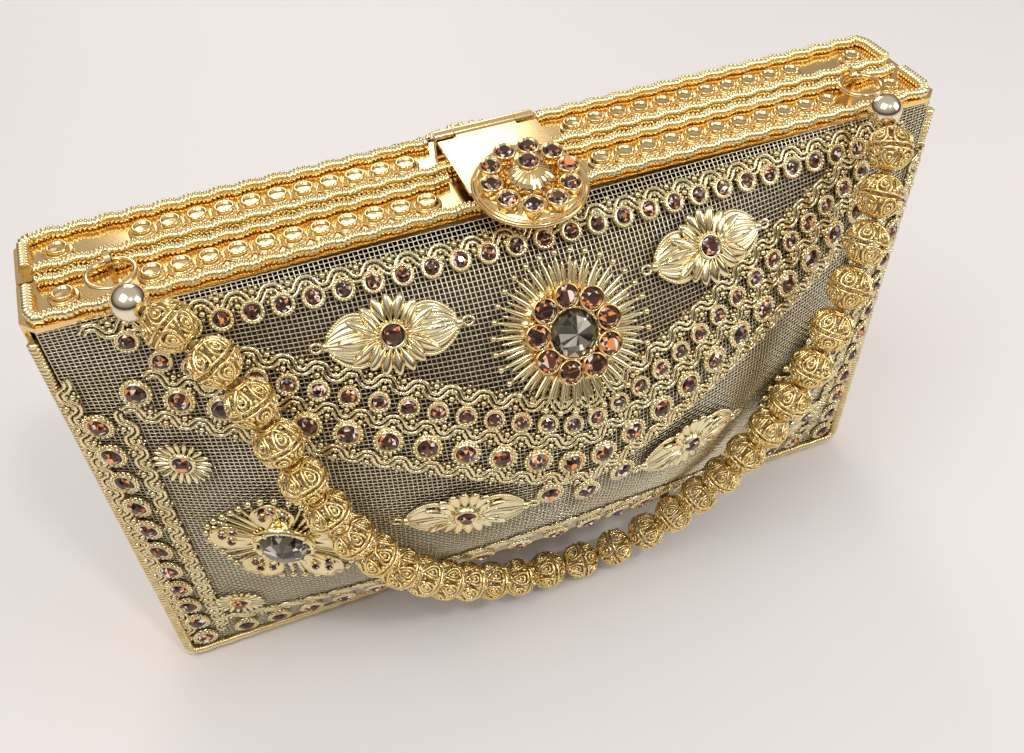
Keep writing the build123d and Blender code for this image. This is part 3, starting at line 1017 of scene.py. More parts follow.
@dataclass(frozen=True)
class TrimPlan:
    """Where the trim sits on a half: places as (x, z) in millimetres."""

    rosette: tuple[float, float] = (0.0, 111.0)
    butterflies: tuple = ((-38.0, 117.5), (38.0, 117.5), (-30.0, 69.0), (30.0, 69.0))
    big_rosettes: tuple = ((-72.5, 63.0), (72.5, 63.0))
    sunbursts: tuple = ((-89.0, 92.0), (89.0, 92.0), (-90.0, 26.0), (90.0, 26.0))

    @staticmethod
    def top_height(x: float) -> float:
        """Height of the row of small stones under the rail."""
        return 127.0 - 1.6 * (x / 91) ** 2

    @staticmethod
    def small_height(x: float) -> float:
        """Height of the swag of small stones."""
        return 90.5 + 32.0 * (x / 93) ** 1.1

    @staticmethod
    def large_height(x: float) -> float:
        """Height of the swag of large stones."""
        return 79.0 + 36.5 * (x / 100)

    @staticmethod
    def foot_height(x: float) -> float:
        """Height of the row of large stones over the foot."""
        return 9.0 + 34.0 * math.exp(-((x / 45.0) ** 2))

    def small(self) -> list[tuple[float, float]]:
        """Places of the small settings."""
        return mirrored_row(6.5, 14, self.top_height) + half_step_row(6.3 * 0.94, 15, self.small_height)

    def large(self) -> list[tuple[float, float]]:
        """Places of the large settings."""
        side = [(s * 103.3, 104.0 - 9.6 * i) for i in range(11) for s in (-1, 1)]
        wedge = mirrored_row(9.5, 1, lambda x: 68.0 + 0.3 * x)
        return (half_step_row(8.6 * 0.94, 12, self.large_height) + wedge + side
                + half_step_row(9.6, 10, self.foot_height))


PLAN = TrimPlan()


def petal(length: float, width: float, crown: float, material: bpy.types.Material,
          rows: int = 8, columns: int = 6, tip: float = 1.0, ripple: float = 0.0, waves: int = 3,
          edge: float = 0.3, rise: float = 0.0) -> bpy.types.Object:
    """Press a petal out of sheet metal, its root at the origin and its tip along +Y.

    Args:
        length: Length in millimetres.
        width: Full width in millimetres.
        crown: Height of its middle over its edges, negative for a spoon, in millimetres.
        material: Its finish.
        rows: Rows along it.
        columns: Columns across it.
        tip: Exponent that moves its widest place, above 1 towards the tip.
        ripple: Depth of the veins in millimetres.
        waves: Number of veins.
        edge: Thickness of the sheet in millimetres.
        rise: How far the tip stands over the root in millimetres.

    Returns:
        The petal, a closed shell.
    """
    top, low = [], []
    for i in range(rows + 1):
        t = i / rows
        half = 0.5 * width * max(math.sin(math.pi * (0.04 + 0.92 * t) ** tip), 0) ** 0.7
        for j in range(columns + 1):
            s = 2 * j / columns - 1
            swell = (1 - s * s) * math.sin(math.pi * (0.1 + 0.8 * t)) ** 0.6
            level = crown * swell + ripple * math.cos(math.pi * waves * s) * swell + rise * t * t
            top.append((half * s * MM, length * t * MM, (level + edge) * MM))
            low.append((half * s * MM, length * t * MM, (crown * swell * 0.8 + rise * t * t) * MM))
    count, wide = len(top), columns + 1
    faces = []
    for i in range(rows):
        for j in range(columns):
            a, b = i * wide + j, i * wide + j + 1
            faces.append((a, b, b + wide, a + wide))
            faces.append((count + a, count + a + wide, count + b + wide, count + b))
    rim = [j for j in range(wide)] + [i * wide + columns for i in range(1, rows + 1)]
    rim += [rows * wide + j for j in range(columns - 1, -1, -1)]
    rim += [i * wide for i in range(rows - 1, 0, -1)]
    for a, b in zip(rim, rim[1:] + rim[:1]):
        faces.append((b, a, count + a, count + b))
    return solid("petal", top + low, faces, material, smooth=True)


def moved(piece: bpy.types.Object, x: float = 0.0, y: float = 0.0, z: float = 0.0, turn: float = 0.0):
    """Turn a mesh about Z by an angle in radians, then move it, in millimetres, within its mesh."""
    piece.data.transform(Matrix.Translation(Vector((x, y, z)) * MM) @ Matrix.Rotation(turn, 4, "Z"))
    return piece


def fan(make: Callable[[], bpy.types.Object], angles: Sequence[float], radius: float,
        x: float = 0.0, y: float = 0.0, z: float = 0.0) -> list[bpy.types.Object]:
    """Make a fan of pieces about a centre, each moved out along its own angle.

    Args:
        make: Maker of one piece, pointing along +Y.
        angles: Angles from +Y in radians.
        radius: Distance of the roots from the centre in millimetres.
        x: Centre of the fan in millimetres.
        y: Centre of the fan in millimetres.
        z: Height of the fan in millimetres.

    Returns:
        The pieces.
    """
    made = []
    for angle in angles:
        made.append(moved(make(), x - radius * math.sin(angle), y + radius * math.cos(angle), z, angle))
    return made


def beading(radius: float, count: int, reach: float, z: float, material: bpy.types.Material,
            rings: int = 4, sides: int = 6) -> list[bpy.types.Object]:
    """Make a ring of small beads about the origin.

    Args:
        radius: Radius of a bead in millimetres.
        count: Number of beads.
        reach: Radius of the ring in millimetres.
        z: Height of the ring in millimetres.
        material: Finish of the beads.
        rings: Steps of a bead from pole to pole.
        sides: Steps round a bead.

    Returns:
        The beads.
    """
    return fan(lambda: ball(radius, material, rings, sides),
               np.arange(count) * TAU / count, reach, z=z)


# ---------------------------------------------------------------- the halves' own pieces


@dataclass
class WovenPanel:
    """Woven wire panel of one half and the lining behind it, in millimetres."""

    half: Half
    pitch: float = 1.10
    wire: float = 0.15
    crimp: float = 0.12
    depth: float = 0.4
    low: float = 2.6
    high: float = 131.9
    lining_depth: float = 2.4
    lining_skin: float = 0.5

    def levels(self) -> Array:
        """Heights of the weft wires, a pitch apart along the surface."""
        z = np.linspace(self.low, self.high, 4000)
        profile = self.half.dome.y(np.full_like(z, 40.0), z)
        way = np.concatenate([[0], np.cumsum(np.hypot(np.diff(profile), np.diff(z)))])
        return np.interp(np.arange(0, way[-1], self.pitch), way, z)

    def wires(self) -> None:
        """Weave the wires both ways, each a piece of its own."""
        reach = self.half.dome.reach - 0.3
        x = np.linspace(-reach, reach, round(2 * reach / self.pitch) + 1)
        z = self.levels()
        across, up = np.meshgrid(x, z)
        over = (np.indices(across.shape).sum(axis=0) % 2) * 2.0 - 1.0
        for part, sign, lay in (("weft_wires", 1, 0), ("warp_wires", -1, 1)):
            lift = (-self.depth + sign * self.crimp * over).ravel()
            at = self.half.turned(self.half.dome.seats(across.ravel(), up.ravel(), lift).at)
            grid = at.reshape(*across.shape, 3)
            lines = list(grid) if lay == 0 else list(grid.transpose(1, 0, 2))
            made = wires(self.half.name(part), lines, self.wire * MM, WIRE_GOLD, sides=3)
            self.half.place(made, "gilt_mesh", *(["mesh_panel"] if lay == 0 else []))

    def lining(self) -> None:
        """Stretch the lining cloth behind the wires, as a closed shell."""
        dome = self.half.dome
        x = np.linspace(-dome.reach, dome.reach, 73)
        z = np.linspace(self.low - 0.2, self.high - 1.4, 49)
        across, up = np.meshgrid(x, z)
        layers = []
        for depth in (self.lining_depth, self.lining_depth + self.lining_skin):
            layers.append(self.half.turned(dome.seats(across.ravel(), up.ravel(), -depth).at))
        wide, tall, count = len(x), len(z), across.size
        faces = []
        for i in range(tall - 1):
            for j in range(wide - 1):
                a = i * wide + j
                faces.append((a, a + 1, a + 1 + wide, a + wide))
                faces.append((count + a, count + a + wide, count + a + 1 + wide, count + a + 1))
        rim = list(range(wide)) + [i * wide + wide - 1 for i in range(1, tall)]
        rim += [(tall - 1) * wide + j for j in range(wide - 2, -1, -1)]
        rim += [i * wide for i in range(tall - 2, 0, -1)]
        for a, b in zip(rim, rim[1:] + rim[:1]):
            faces.append((b, a, count + a, count + b))
        made = solid(self.half.name("lining_cloth"), np.concatenate(layers), faces, BROWN_CLOTH,
                     smooth=True)
        self.half.place(made, "lining", "lining")

    def build(self) -> None:
        """Build the panel."""
        self.wires()
        self.lining()


@dataclass
class GimpEdges:
    """Wound cords along the seam, the rail's edge and the panel's border, in millimetres."""

    half: Half
    core: float = 0.92
    ridge: float = 0.5
    turn: float = 1.02
    swing: float = 0.42
    wave: float = 6.4
    level: float = 133.25
    seam_y: float = -2.35
    edge_y: float = -14.9
    reach: float = 106.0
    gap: float = 14.0

    def waved(self, corners: Sequence[tuple[float, float, float]], side: Sequence[float]) -> Array:
        """Lay a gently waving line through corner points.

        Args:
            corners: Points of the line in millimetres.
            side: Direction of the waving.

        Returns:
            Points in metres on this half.
        """
        corners = np.array(corners, float)
        way = np.concatenate([[0], np.cumsum(np.linalg.norm(np.diff(corners, axis=0), axis=1))])
        even = np.linspace(0, way[-1], round(way[-1] / 0.5))
        line = np.stack([np.interp(even, way, corners[:, k]) for k in range(3)], 1)
        line += np.outer(self.swing * np.sin(TAU * even / self.wave), side)
        return self.half.turned(line * MM)

    def wound(self, part: str, lines: list[Array], node: str) -> None:
        """Wind one cord and place it."""
        made = gimp(self.half.name(part), lines, self.core * MM, self.ridge * MM, self.turn * MM,
                    CORD_GOLD, steps=4, sides=8)
        self.half.place(made, "gimp_cord", node)

    def build(self) -> None:
        """Build the cords."""
        turn = [(self.reach, self.edge_y, self.level), (self.reach + 1.6, self.edge_y + 2.6, self.level),
                (self.reach + 1.6, -3.4, self.level)]
        left = [(-x, y, z) for x, y, z in turn[::-1]]
        seam = [(x, self.seam_y, self.level) for x in (-self.reach, -self.gap, self.gap, self.reach)]
        stop = [(x, self.edge_y, self.level) for x in (-self.gap, self.gap)]
        front = self.half.side is Side.FRONT
        seams = [seam[:2], seam[2:]] if front else [[seam[0], seam[3]]]
        edges = [left + turn] if front else [left + stop[:1], stop[1:] + turn]
        for part, node, runs in (("seam_gimp", "seam_cord", seams), ("edge_gimp", "edge_cord", edges)):
            self.wound(part, [self.waved(run, (0, 1, 0)) for run in runs], node)
        dome = self.half.dome
        x, top = dome.half_length - 1.1, dome.height - 4
        low, high = -float(dome.rim(3.2)) - 1.3, -float(dome.rim(top)) + 1.1
        corner = [(x, high, top), (x, low, 4.2), (x - 0.9, low + 0.2, 2.3), (x - 3.4, low + 0.3, 1.7)]
        border = [(-a, b, c) for a, b, c in corner] + corner[::-1]
        self.wound("border_gimp", [self.waved(border, (0, -0.25, 0))], "border_cords")


@dataclass
class RailStrip:
    """Strip of pressed cups along the rail, in millimetres."""

    half: Half
    pitch: float = 6.1
    y: float = -8.4
    level: float = 132.03
    clear: float = 16.4
    lug: float = 90.0
    lug_room: float = 4.6

    def build(self) -> None:
        """Press the cups and the necks between them."""
        places = [(i + 0.5) * self.pitch * s for i in range(17) for s in (-1, 1)
                  if (i + 0.5) * self.pitch > self.clear]
        places = sorted(x for x in places if abs(abs(x) - self.lug) > self.lug_room)
        profile = [(0, 0), (3.25, 0), (3.3, 0.35), (2.95, 0.55), (2.6, 0.45), (2.5, 0.8), (2.35, 1.5),
                   (2.1, 1.75), (1.75, 1.6), (1.6, 1.1), (0, 1.0)]
        cup = lathe(profile, 24, WARM_GOLD)
        cup.data.polygons.foreach_set("use_smooth", [len(p.vertices) == 4 for p in cup.data.polygons])
        cups = set_pieces("cups", cup, self.seats(places))
        necks = [(a + b) / 2 for a, b in zip(places, places[1:]) if b - a < self.pitch * 1.1]
        bar = lathe([(0, 0), (1.5, 0), (1.35, 0.34), (0, 0.4)], 4, WARM_GOLD)
        bars = set_pieces("necks", bar, self.seats(necks))
        self.half.place(joined(self.half.name("rail_cups"), [cups, bars]), "gilt_polished", "rail_discs")

    def seats(self, places: Sequence[float]) -> Seats:
        """Seats on the rail at places along it."""
        at = np.array([(x, self.y, self.level) for x in places]) * MM
        spread_out = [np.tile(axis, (len(places), 1)) for axis in ((1.0, 0, 0), (0, 1.0, 0), (0, 0, 1.0))]
        return self.half.turned_seats(Seats(at, *spread_out))


@dataclass
class StoneRows:
    """Rows of set stones, small and large, in millimetres."""

    half: Half
    beads_each: int = 18

    def build(self) -> None:
        """Build the settings and their stones."""
        small, large = self.half.seats(PLAN.small()), self.half.seats(PLAN.large())
        collet = lathe([(0, 0.1), (2.5, 0), (2.7, 0.6), (2.45, 0.95), (1.85, 1.25), (1.72, 0.9),
                        (0, 0.85)], 20, PALE_GOLD, smooth=True)
        collets = set_pieces("collets", collet, small)
        rim = set_pieces("collet_beads", ball(0.40, PALE_GOLD),
                         small.lifted(1.05 * MM).ring(self.beads_each, 2.28 * MM))
        self.half.place(joined(self.half.name("small_collets"), [collets, rim]), "gilt_filigree",
                        "small_settings")
        gem = chaton(1.75, 0.8, 0.6)
        self.half.place(set_pieces(self.half.name("small_gems"), gem, small.lifted(1.0 * MM)),
                        "topaz_crystal", "small_stones")
        bezel = lathe([(0, 0.1), (3.3, 0), (3.5, 0.45), (3.25, 0.75), (2.8, 0.9), (2.7, 1.35),
                       (2.45, 1.45), (2.35, 1.0), (0, 0.9)], 20, PALE_GOLD, smooth=True)
        bezels = set_pieces("bezels", bezel, large)
        rim = set_pieces("bezel_beads", ball(0.52, PALE_GOLD),
                         large.lifted(0.95 * MM).ring(self.beads_each, 3.15 * MM))
        self.half.place(joined(self.half.name("large_bezels"), [bezels, rim]), "gilt_filigree",
                        "large_settings")
        gem = chaton(2.4, 1.1, 0.8)
        self.half.place(set_pieces(self.half.name("large_gems"), gem, large.lifted(1.25 * MM)),
                        "topaz_crystal", "large_stones")


@dataclass
class WaveBraid:
    """Waved double gimp with a bead cluster in each hollow, in millimetres."""

    half: Half
    period: float = 7.4
    swing: float = 1.4
    gauge: float = 0.58
    core: float = 0.34
    ridge: float = 0.22
    turn: float = 0.8
    lift: float = 0.5
    highest: float = 128.6
    step: float = 0.35
    hollow: float = 1.2
    buds_each: int = 6

    def paths(self) -> list[tuple[Array, Array]]:
        """Lines that the braids follow, as x and z positions."""
        dome = self.half.dome
        rows = []
        for height, reach, distance in ((PLAN.top_height, 99, 4.7), (PLAN.small_height, 90, 5.0),
                                        (PLAN.small_height, 90, -5.0), (PLAN.large_height, 97, -6.3),
                                        (PLAN.foot_height, 95, 6.6)):
            x = np.linspace(-reach, reach, 160)
            z = np.array([height(abs(value)) for value in x])
            rows.append((x, np.minimum(dome.climbed(x, z, distance), self.highest)))
        for sign in (-1, 1):
            for across, low, high in ((97.4, 9.0, 108.0), (107.0, 8.0, 118.0)):
                z = np.linspace(low, high, 80)
                rows.append((np.full_like(z, sign * across), z))
        return rows

    def build(self) -> None:
        """Build the braids and their bead clusters."""
        lines, hollows, buds = [], [], []
        for x, z in self.paths():
            run = self.half.dome.run(x, z, self.step, self.lift)
            way = np.arange(len(run.at)) * self.step
            phase = TAU * way / self.period
            wave = self.swing * (np.sin(phase) + 0.12 * np.sin(3 * phase))
            slope = np.gradient(wave, self.step)
            for side in (-1, 1):
                offset = side * self.gauge / np.sqrt(1 + slope ** 2)
                slip = -offset * slope
                at = run.at + run.up * ((wave + offset) * MM)[:, None] + run.right * (slip * MM)[:, None]
                lines.append(self.half.turned(at))
            for k in range(1, int(way[-1] / self.period * 2)):
                index = round((k + 0.5) * self.period / 2 / self.step)
                if index < len(way):
                    middle = run.one(index).shifted(0, (1 if k % 2 else -1) * self.hollow * MM)
                    hollows.append(middle)
                    buds.append(middle.ring(self.buds_each, 1.25 * MM))
        made = gimp(self.half.name("wave_braid"), lines, self.core * MM, self.ridge * MM, self.turn * MM,
                    PALE_GOLD, steps=2, sides=6)
        self.half.place(made, "gimp_cord")
        centres = set_pieces("hearts", ball(0.78, PALE_GOLD),
                             self.half.turned_seats(join_seats(hollows)))
        ring = set_pieces("buds", ball(0.42, PALE_GOLD, 3, 5),
                          self.half.turned_seats(join_seats(buds)))
        self.half.place(joined(self.half.name("braid_beads"), [centres, ring]), "gilt_filigree")


@dataclass
class Motifs:
    """Stamped motifs of one half: rosettes, butterflies and sunbursts, in millimetres."""

    half: Half
    rays: int = 32
    ray_reach: float = 18.2
    back_reach: float = 15.4
    ring: float = 8.6
    grains: tuple = ((12.8, -0.19), (15.0, 0.0), (12.8, 0.19))

    def rosette(self) -> None:
        """Build the middle rosette: two layers of rays, nine stones and a pointed heart."""
        seat = self.half.seats([PLAN.rosette], 1.6)
        reach = self.ray_reach if self.half.side is Side.FRONT else self.back_reach
        bar = petal(reach - 9.8, 1.15, 0.28, PALE_GOLD, rows=6, columns=4, tip=0.8, edge=0.35)
        under = petal(reach - 10.6, 1.2, 0.2, PALE_GOLD, rows=6, columns=4, tip=0.8, edge=0.3)
        step = TAU / self.rays
        parts = [
            set_pieces("rays", bar, seat.lifted(0.9 * MM).ring(self.rays, 9.3 * MM)),
            set_pieces("under", under, seat.lifted(0.1 * MM).ring(self.rays, 8.8 * MM, step / 2)),
            set_pieces("tips", ball(0.78, PALE_GOLD, 6, 10),
                       seat.lifted(1.1 * MM).ring(self.rays, reach * MM)),
            set_pieces("plate", lathe([(0, -0.4), (11.6, -0.2), (11.9, 0.3), (10.8, 1.0),
                                       (6.2, 1.3), (0, 1.3)], 64, WARM_GOLD, flute=0.02),
                       seat),
            set_pieces("collets", lathe([(0, 0), (2.5, 0), (2.75, 1.2), (3.0, 2.3), (2.85, 2.75),
                                         (2.55, 2.7), (2.5, 2.0), (0, 1.9)], 28, WARM_GOLD,
                                        smooth=True),
                       seat.lifted(0.9 * MM).ring(9, self.ring * MM)),
            set_pieces("crown", lathe([(0, 0.6), (5.9, 0.6), (6.25, 2.2), (5.95, 2.7), (5.5, 2.6),
                                       (5.4, 1.8), (0, 1.7)], 48, WARM_GOLD, smooth=True),
                       seat),
            set_pieces("beading", ball(0.42, PALE_GOLD),
                       seat.lifted(2.75 * MM).ring(30, 5.85 * MM)),
        ]
        stems = []
        for spoke in range(self.rays):
            around = seat.lifted(0.7 * MM).spun(TAU * spoke / self.rays)
            line = np.array([[0.0, r, 0.35] for r in (reach - 2.2, reach - 1.2, reach - 0.2)]) * MM
            stems += around.world(line)
        parts.append(wires("stems", stems, 0.28 * MM, PALE_GOLD, sides=5))
        self.half.place(joined(self.half.name("rosette_star"), parts), "gilt_polished", "rosette_rays")
        gem = chaton(2.5, 1.35, 1.35, 10)
        self.half.place(set_pieces(self.half.name("rosette_gems"), gem,
                                   seat.lifted(3.2 * MM).ring(9, self.ring * MM)),
                        "topaz_crystal", "rosette_stones")
        rivoli = chaton(5.45, 2.6, 0, 12, SMOKE)
        self.half.place(set_pieces(self.half.name("rosette_rivoli"), rivoli, seat.lifted(2.2 * MM)),
                        "smoky_crystal", "rosette_heart")

    def butterfly(self) -> bpy.types.Object:
        """Shape one butterfly motif about its middle."""
        parts = []
        length, width = 12.4, 11.6
        for sign in (-1, 1):
            wing = petal(length, width, 1.2, PALE_GOLD, rows=20, columns=30, tip=0.95, ripple=0.5,
                         waves=9, edge=0.4)
            parts.append(moved(wing, sign * 2.0, 0, 0.2, -sign * math.pi / 2))
            for tilt, long, wide in ((0.0, 9.0, 3.2), (-0.55, 7.6, 2.6), (0.55, 7.6, 2.6), (-1.0, 5.4, 1.9),
                                     (1.0, 5.4, 1.9)):
                turn = -sign * (math.pi / 2 - tilt)
                leaf = petal(long, wide, 0.8, PALE_GOLD, rows=10, columns=8, edge=0.5)
                parts.append(moved(leaf, sign * 3.0, 1.2 * tilt, 1.2, turn))
                vein = petal(long * 0.62, wide * 0.42, 0.5, PALE_GOLD, rows=7, columns=4, edge=0.4)
                parts.append(moved(vein, sign * 3.8, 1.2 * tilt, 1.9, turn))
            for i in range(25):
                t = 0.06 + 0.9 * i / 24
                half = 0.5 * width * math.sin(math.pi * (0.04 + 0.92 * t) ** 0.95) ** 0.7
                for edge in (-1, 1):
                    parts.append(moved(ball(0.5, PALE_GOLD), sign * (2.0 + length * t),
                                       edge * half, 0.6))
            parts.append(moved(ball(1.2, PALE_GOLD, 8, 14), sign * 14.6, 0, 0.6))
            ring = loop([(16.7 + 1.2 * math.cos(a), math.sin(a)) for a in np.linspace(0, TAU, 15)[:-1]], 0.5)
            ring[:, 0] *= sign
            parts.append(wires("eye", [ring], 0.38 * MM, PALE_GOLD, sides=6))
        for end in (0, math.pi):
            angles = [end + a for a in (-0.72, -0.36, 0.0, 0.36, 0.72)]
            parts += fan(lambda: petal(6.6, 2.6, 0.8, PALE_GOLD, rows=8, columns=6,
                                       tip=1.6, edge=0.45), angles, 2.4, 0, 0, 0.6)
            parts += [moved(ball(0.7, PALE_GOLD, 6, 8), s * 4.6, 5.2 * math.cos(end), 0.8)
                      for s in (-1, 1)]
        parts.append(lathe([(0, 0.2), (3.3, 0.2), (3.2, 1.3), (2.9, 2.3), (2.55, 2.5), (2.4, 2.1),
                            (0, 2.0)], 24, PALE_GOLD, smooth=True))
        parts += beading(0.4, 22, 3.25, 1.2, PALE_GOLD)
        return joined("butterfly", parts)

    def big_rosette(self) -> bpy.types.Object:
        """Shape one big rosette: five spoons, prongs with ball tips and a deep cup."""
        parts: list[bpy.types.Object] = []
        for angle in np.arange(5) * TAU / 5:
            spoon = petal(14.0, 10.4, -1.4, MIRROR_GOLD, rows=14, columns=12, tip=1.6, edge=0.6,
                          rise=0.2)
            parts.append(moved(spoon, -4.0 * math.sin(angle), 4.0 * math.cos(angle), 1.9, angle))
            parts += [moved(ball(1.4, MIRROR_GOLD, 6, 10),
                            -r * math.sin(angle + d), r * math.cos(angle + d), 1.1)
                      for r, d in self.grains]
        for i in range(36):
            angle = TAU * (i + 0.5) / 36
            reach = 18.0 + 0.9 * math.cos(5 * angle)
            prong = petal(reach - 6.0, 1.15, 0.5, MIRROR_GOLD, rows=6, columns=4, edge=0.5)
            parts.append(moved(prong, -6.0 * math.sin(angle), 6.0 * math.cos(angle), 0.7, angle))
            parts.append(moved(ball(0.95, MIRROR_GOLD, 6, 9), -reach * math.sin(angle),
                               reach * math.cos(angle), 1.1))
        parts.append(lathe([(0, 0), (6.6, 0.2), (7.9, 1.8), (7.8, 2.8), (7.1, 3.6), (6.5, 3.4),
                            (6.2, 2.2), (0, 2.0)], 40, MIRROR_GOLD, smooth=True))
        parts += fan(lambda: petal(2.6, 1.2, 0.3, MIRROR_GOLD, rows=5, columns=4,
                                   rise=0.4),
                     np.arange(12) * TAU / 12, 5.7, z=3.2)
        return joined("big_rosette", parts)

    def sunburst(self) -> bpy.types.Object:
        """Shape one sunburst: twenty creased petals round a collet."""
        parts = fan(lambda: petal(4.4, 1.25, 0.5, PALE_GOLD, rows=5, columns=4, tip=1.5,
                                  edge=0.35, rise=0.5), np.arange(20) * TAU / 20, 2.4, z=0.3)
        parts.append(lathe([(0, 0), (3.0, 0), (3.1, 0.8), (2.8, 1.5), (2.45, 1.6), (2.3, 1.1),
                            (0, 1.0)], 24, PALE_GOLD, smooth=True))
        parts += beading(0.36, 18, 2.95, 1.0, PALE_GOLD)
        return joined("sunburst", parts)

    def build(self) -> None:
        """Build the motifs and their stones."""
        self.rosette()
        wings, bursts = self.half.seats(PLAN.butterflies, 0.4), self.half.seats(PLAN.sunbursts, 0.2)
        stars = self.half.seats(PLAN.big_rosettes, 0.6)
        for part, make, seats, node in (
            ("butterfly_wings", self.butterfly, wings, "butterflies"),
            ("spoon_rosettes", self.big_rosette, stars, "big_rosettes"),
            ("sunburst_petals", self.sunburst, bursts, "sunbursts"),
        ):
            self.half.place(set_pieces(self.half.name(part), make(), seats), "gilt_filigree", node)
        accents = join_seats([wings.lifted(2.3 * MM), bursts.lifted(1.3 * MM)])
        gem = chaton(2.4, 1.1, 1.3)
        grains = chaton(1.15, 0.6, 0.5, 6)
        spoons = [stars.lifted(2.3 * MM).spun(TAU * k / 5 + d).shifted(0, r * MM)
                  for k in range(5) for r, d in self.grains]
        parts = [set_pieces("gems", gem, accents),
                 set_pieces("grains", grains, join_seats(spoons))]
        self.half.place(joined(self.half.name("accent_gems"), parts), "topaz_crystal", "accent_stones")
        rivoli = chaton(6.35, 3.2, 0, 14, SMOKE)
        self.half.place(set_pieces(self.half.name("spoon_rivolis"), rivoli, stars.lifted(3.0 * MM)),
                        "smoky_crystal", "big_rosette_stones")


@dataclass
class FlapClasp:
    """Round flap clasp with ten stones about a fluted dome, in millimetres."""

    middle: tuple[float, float, float] = (0.0, -17.5, 136.4)
    tilt: float = 10.0
    stones: int = 10
    ring: float = 9.1

    def seat(self) -> Seats:
        """Seat of the disc's middle on its tilted plane."""
        turn = Matrix.Rotation(math.radians(self.tilt), 3, "X")
        axes = [np.array([list(turn @ Vector(axis))]) for axis in ((1, 0, 0), (0, 1, 0), (0, 0, 1))]
        return Seats(np.array([self.middle]) * MM, *axes)

    def build(self) -> None:
        """Build the disc, its dome, collets and stones."""
        seat = self.seat()
        disc = lathe([(0, -0.1), (12.6, -0.1), (13.1, 0.25), (13.2, 0.8), (12.95, 1.25),
                      (12.6, 1.3), (12.35, 1.0), (12.1, 1.0), (11.85, 1.3), (11.6, 1.3),
                      (11.4, 1.0), (11.2, 1.05), (10.9, 1.4), (7.0, 1.5), (0, 1.6)],
                     96, WARM_GOLD, smooth=True)
        place(set_pieces("clasp_plate", disc, seat), "clasp_flap", "gilt_polished", "clasp_disc")
        dome = self.dome()
        place(set_pieces("clasp_fluted_dome", dome, seat.lifted(1.4 * MM)), "clasp_flap",
              "gilt_polished", "clasp_dome")
        collet = lathe([(0, 0), (2.2, 0), (2.3, 1.2), (2.65, 2.6), (2.5, 3.0), (2.2, 2.95),
                        (2.15, 2.4), (0, 2.3)], 28, WARM_GOLD, smooth=True)
        place(set_pieces("clasp_collets", collet,
                         seat.lifted(1.2 * MM).ring(self.stones, self.ring * MM, math.pi / 10)),
              "clasp_flap", "gilt_polished", "clasp_settings")
        around = seat.lifted(3.75 * MM).ring(self.stones, self.ring * MM, math.pi / 10)
        gems = join_seats([around, seat.shifted(0, 1.4 * MM).lifted(6.6 * MM)])
        place(set_pieces("clasp_gems", chaton(2.15, 0.95, 1.15, 10), gems), "clasp_flap",
              "topaz_crystal", "clasp_stones")

    def dome(self) -> bpy.types.Object:
        """Shape the fluted dome with the collet on its crown."""
        profile = [(0, 0)]
        for i in range(9):
            angle = math.pi / 2 * i / 8
            profile.append((max(6.2 * math.cos(angle), 0.4), 4.6 * math.sin(angle)))
        shell = lathe([*profile, (0, 4.7)], 48, WARM_GOLD, flute=0.07)
        top = lathe([(0, 3.6), (2.3, 3.6), (2.6, 4.6), (2.6, 5.2), (2.35, 5.4), (2.2, 5.1),
                     (0, 5.0)], 28, WARM_GOLD, smooth=True)
        beads = beading(0.5, 26, 6.3, 0.3, WARM_GOLD, 5, 8)
        return joined("dome", [shell, moved(top, 0, 1.4, 0), *beads])


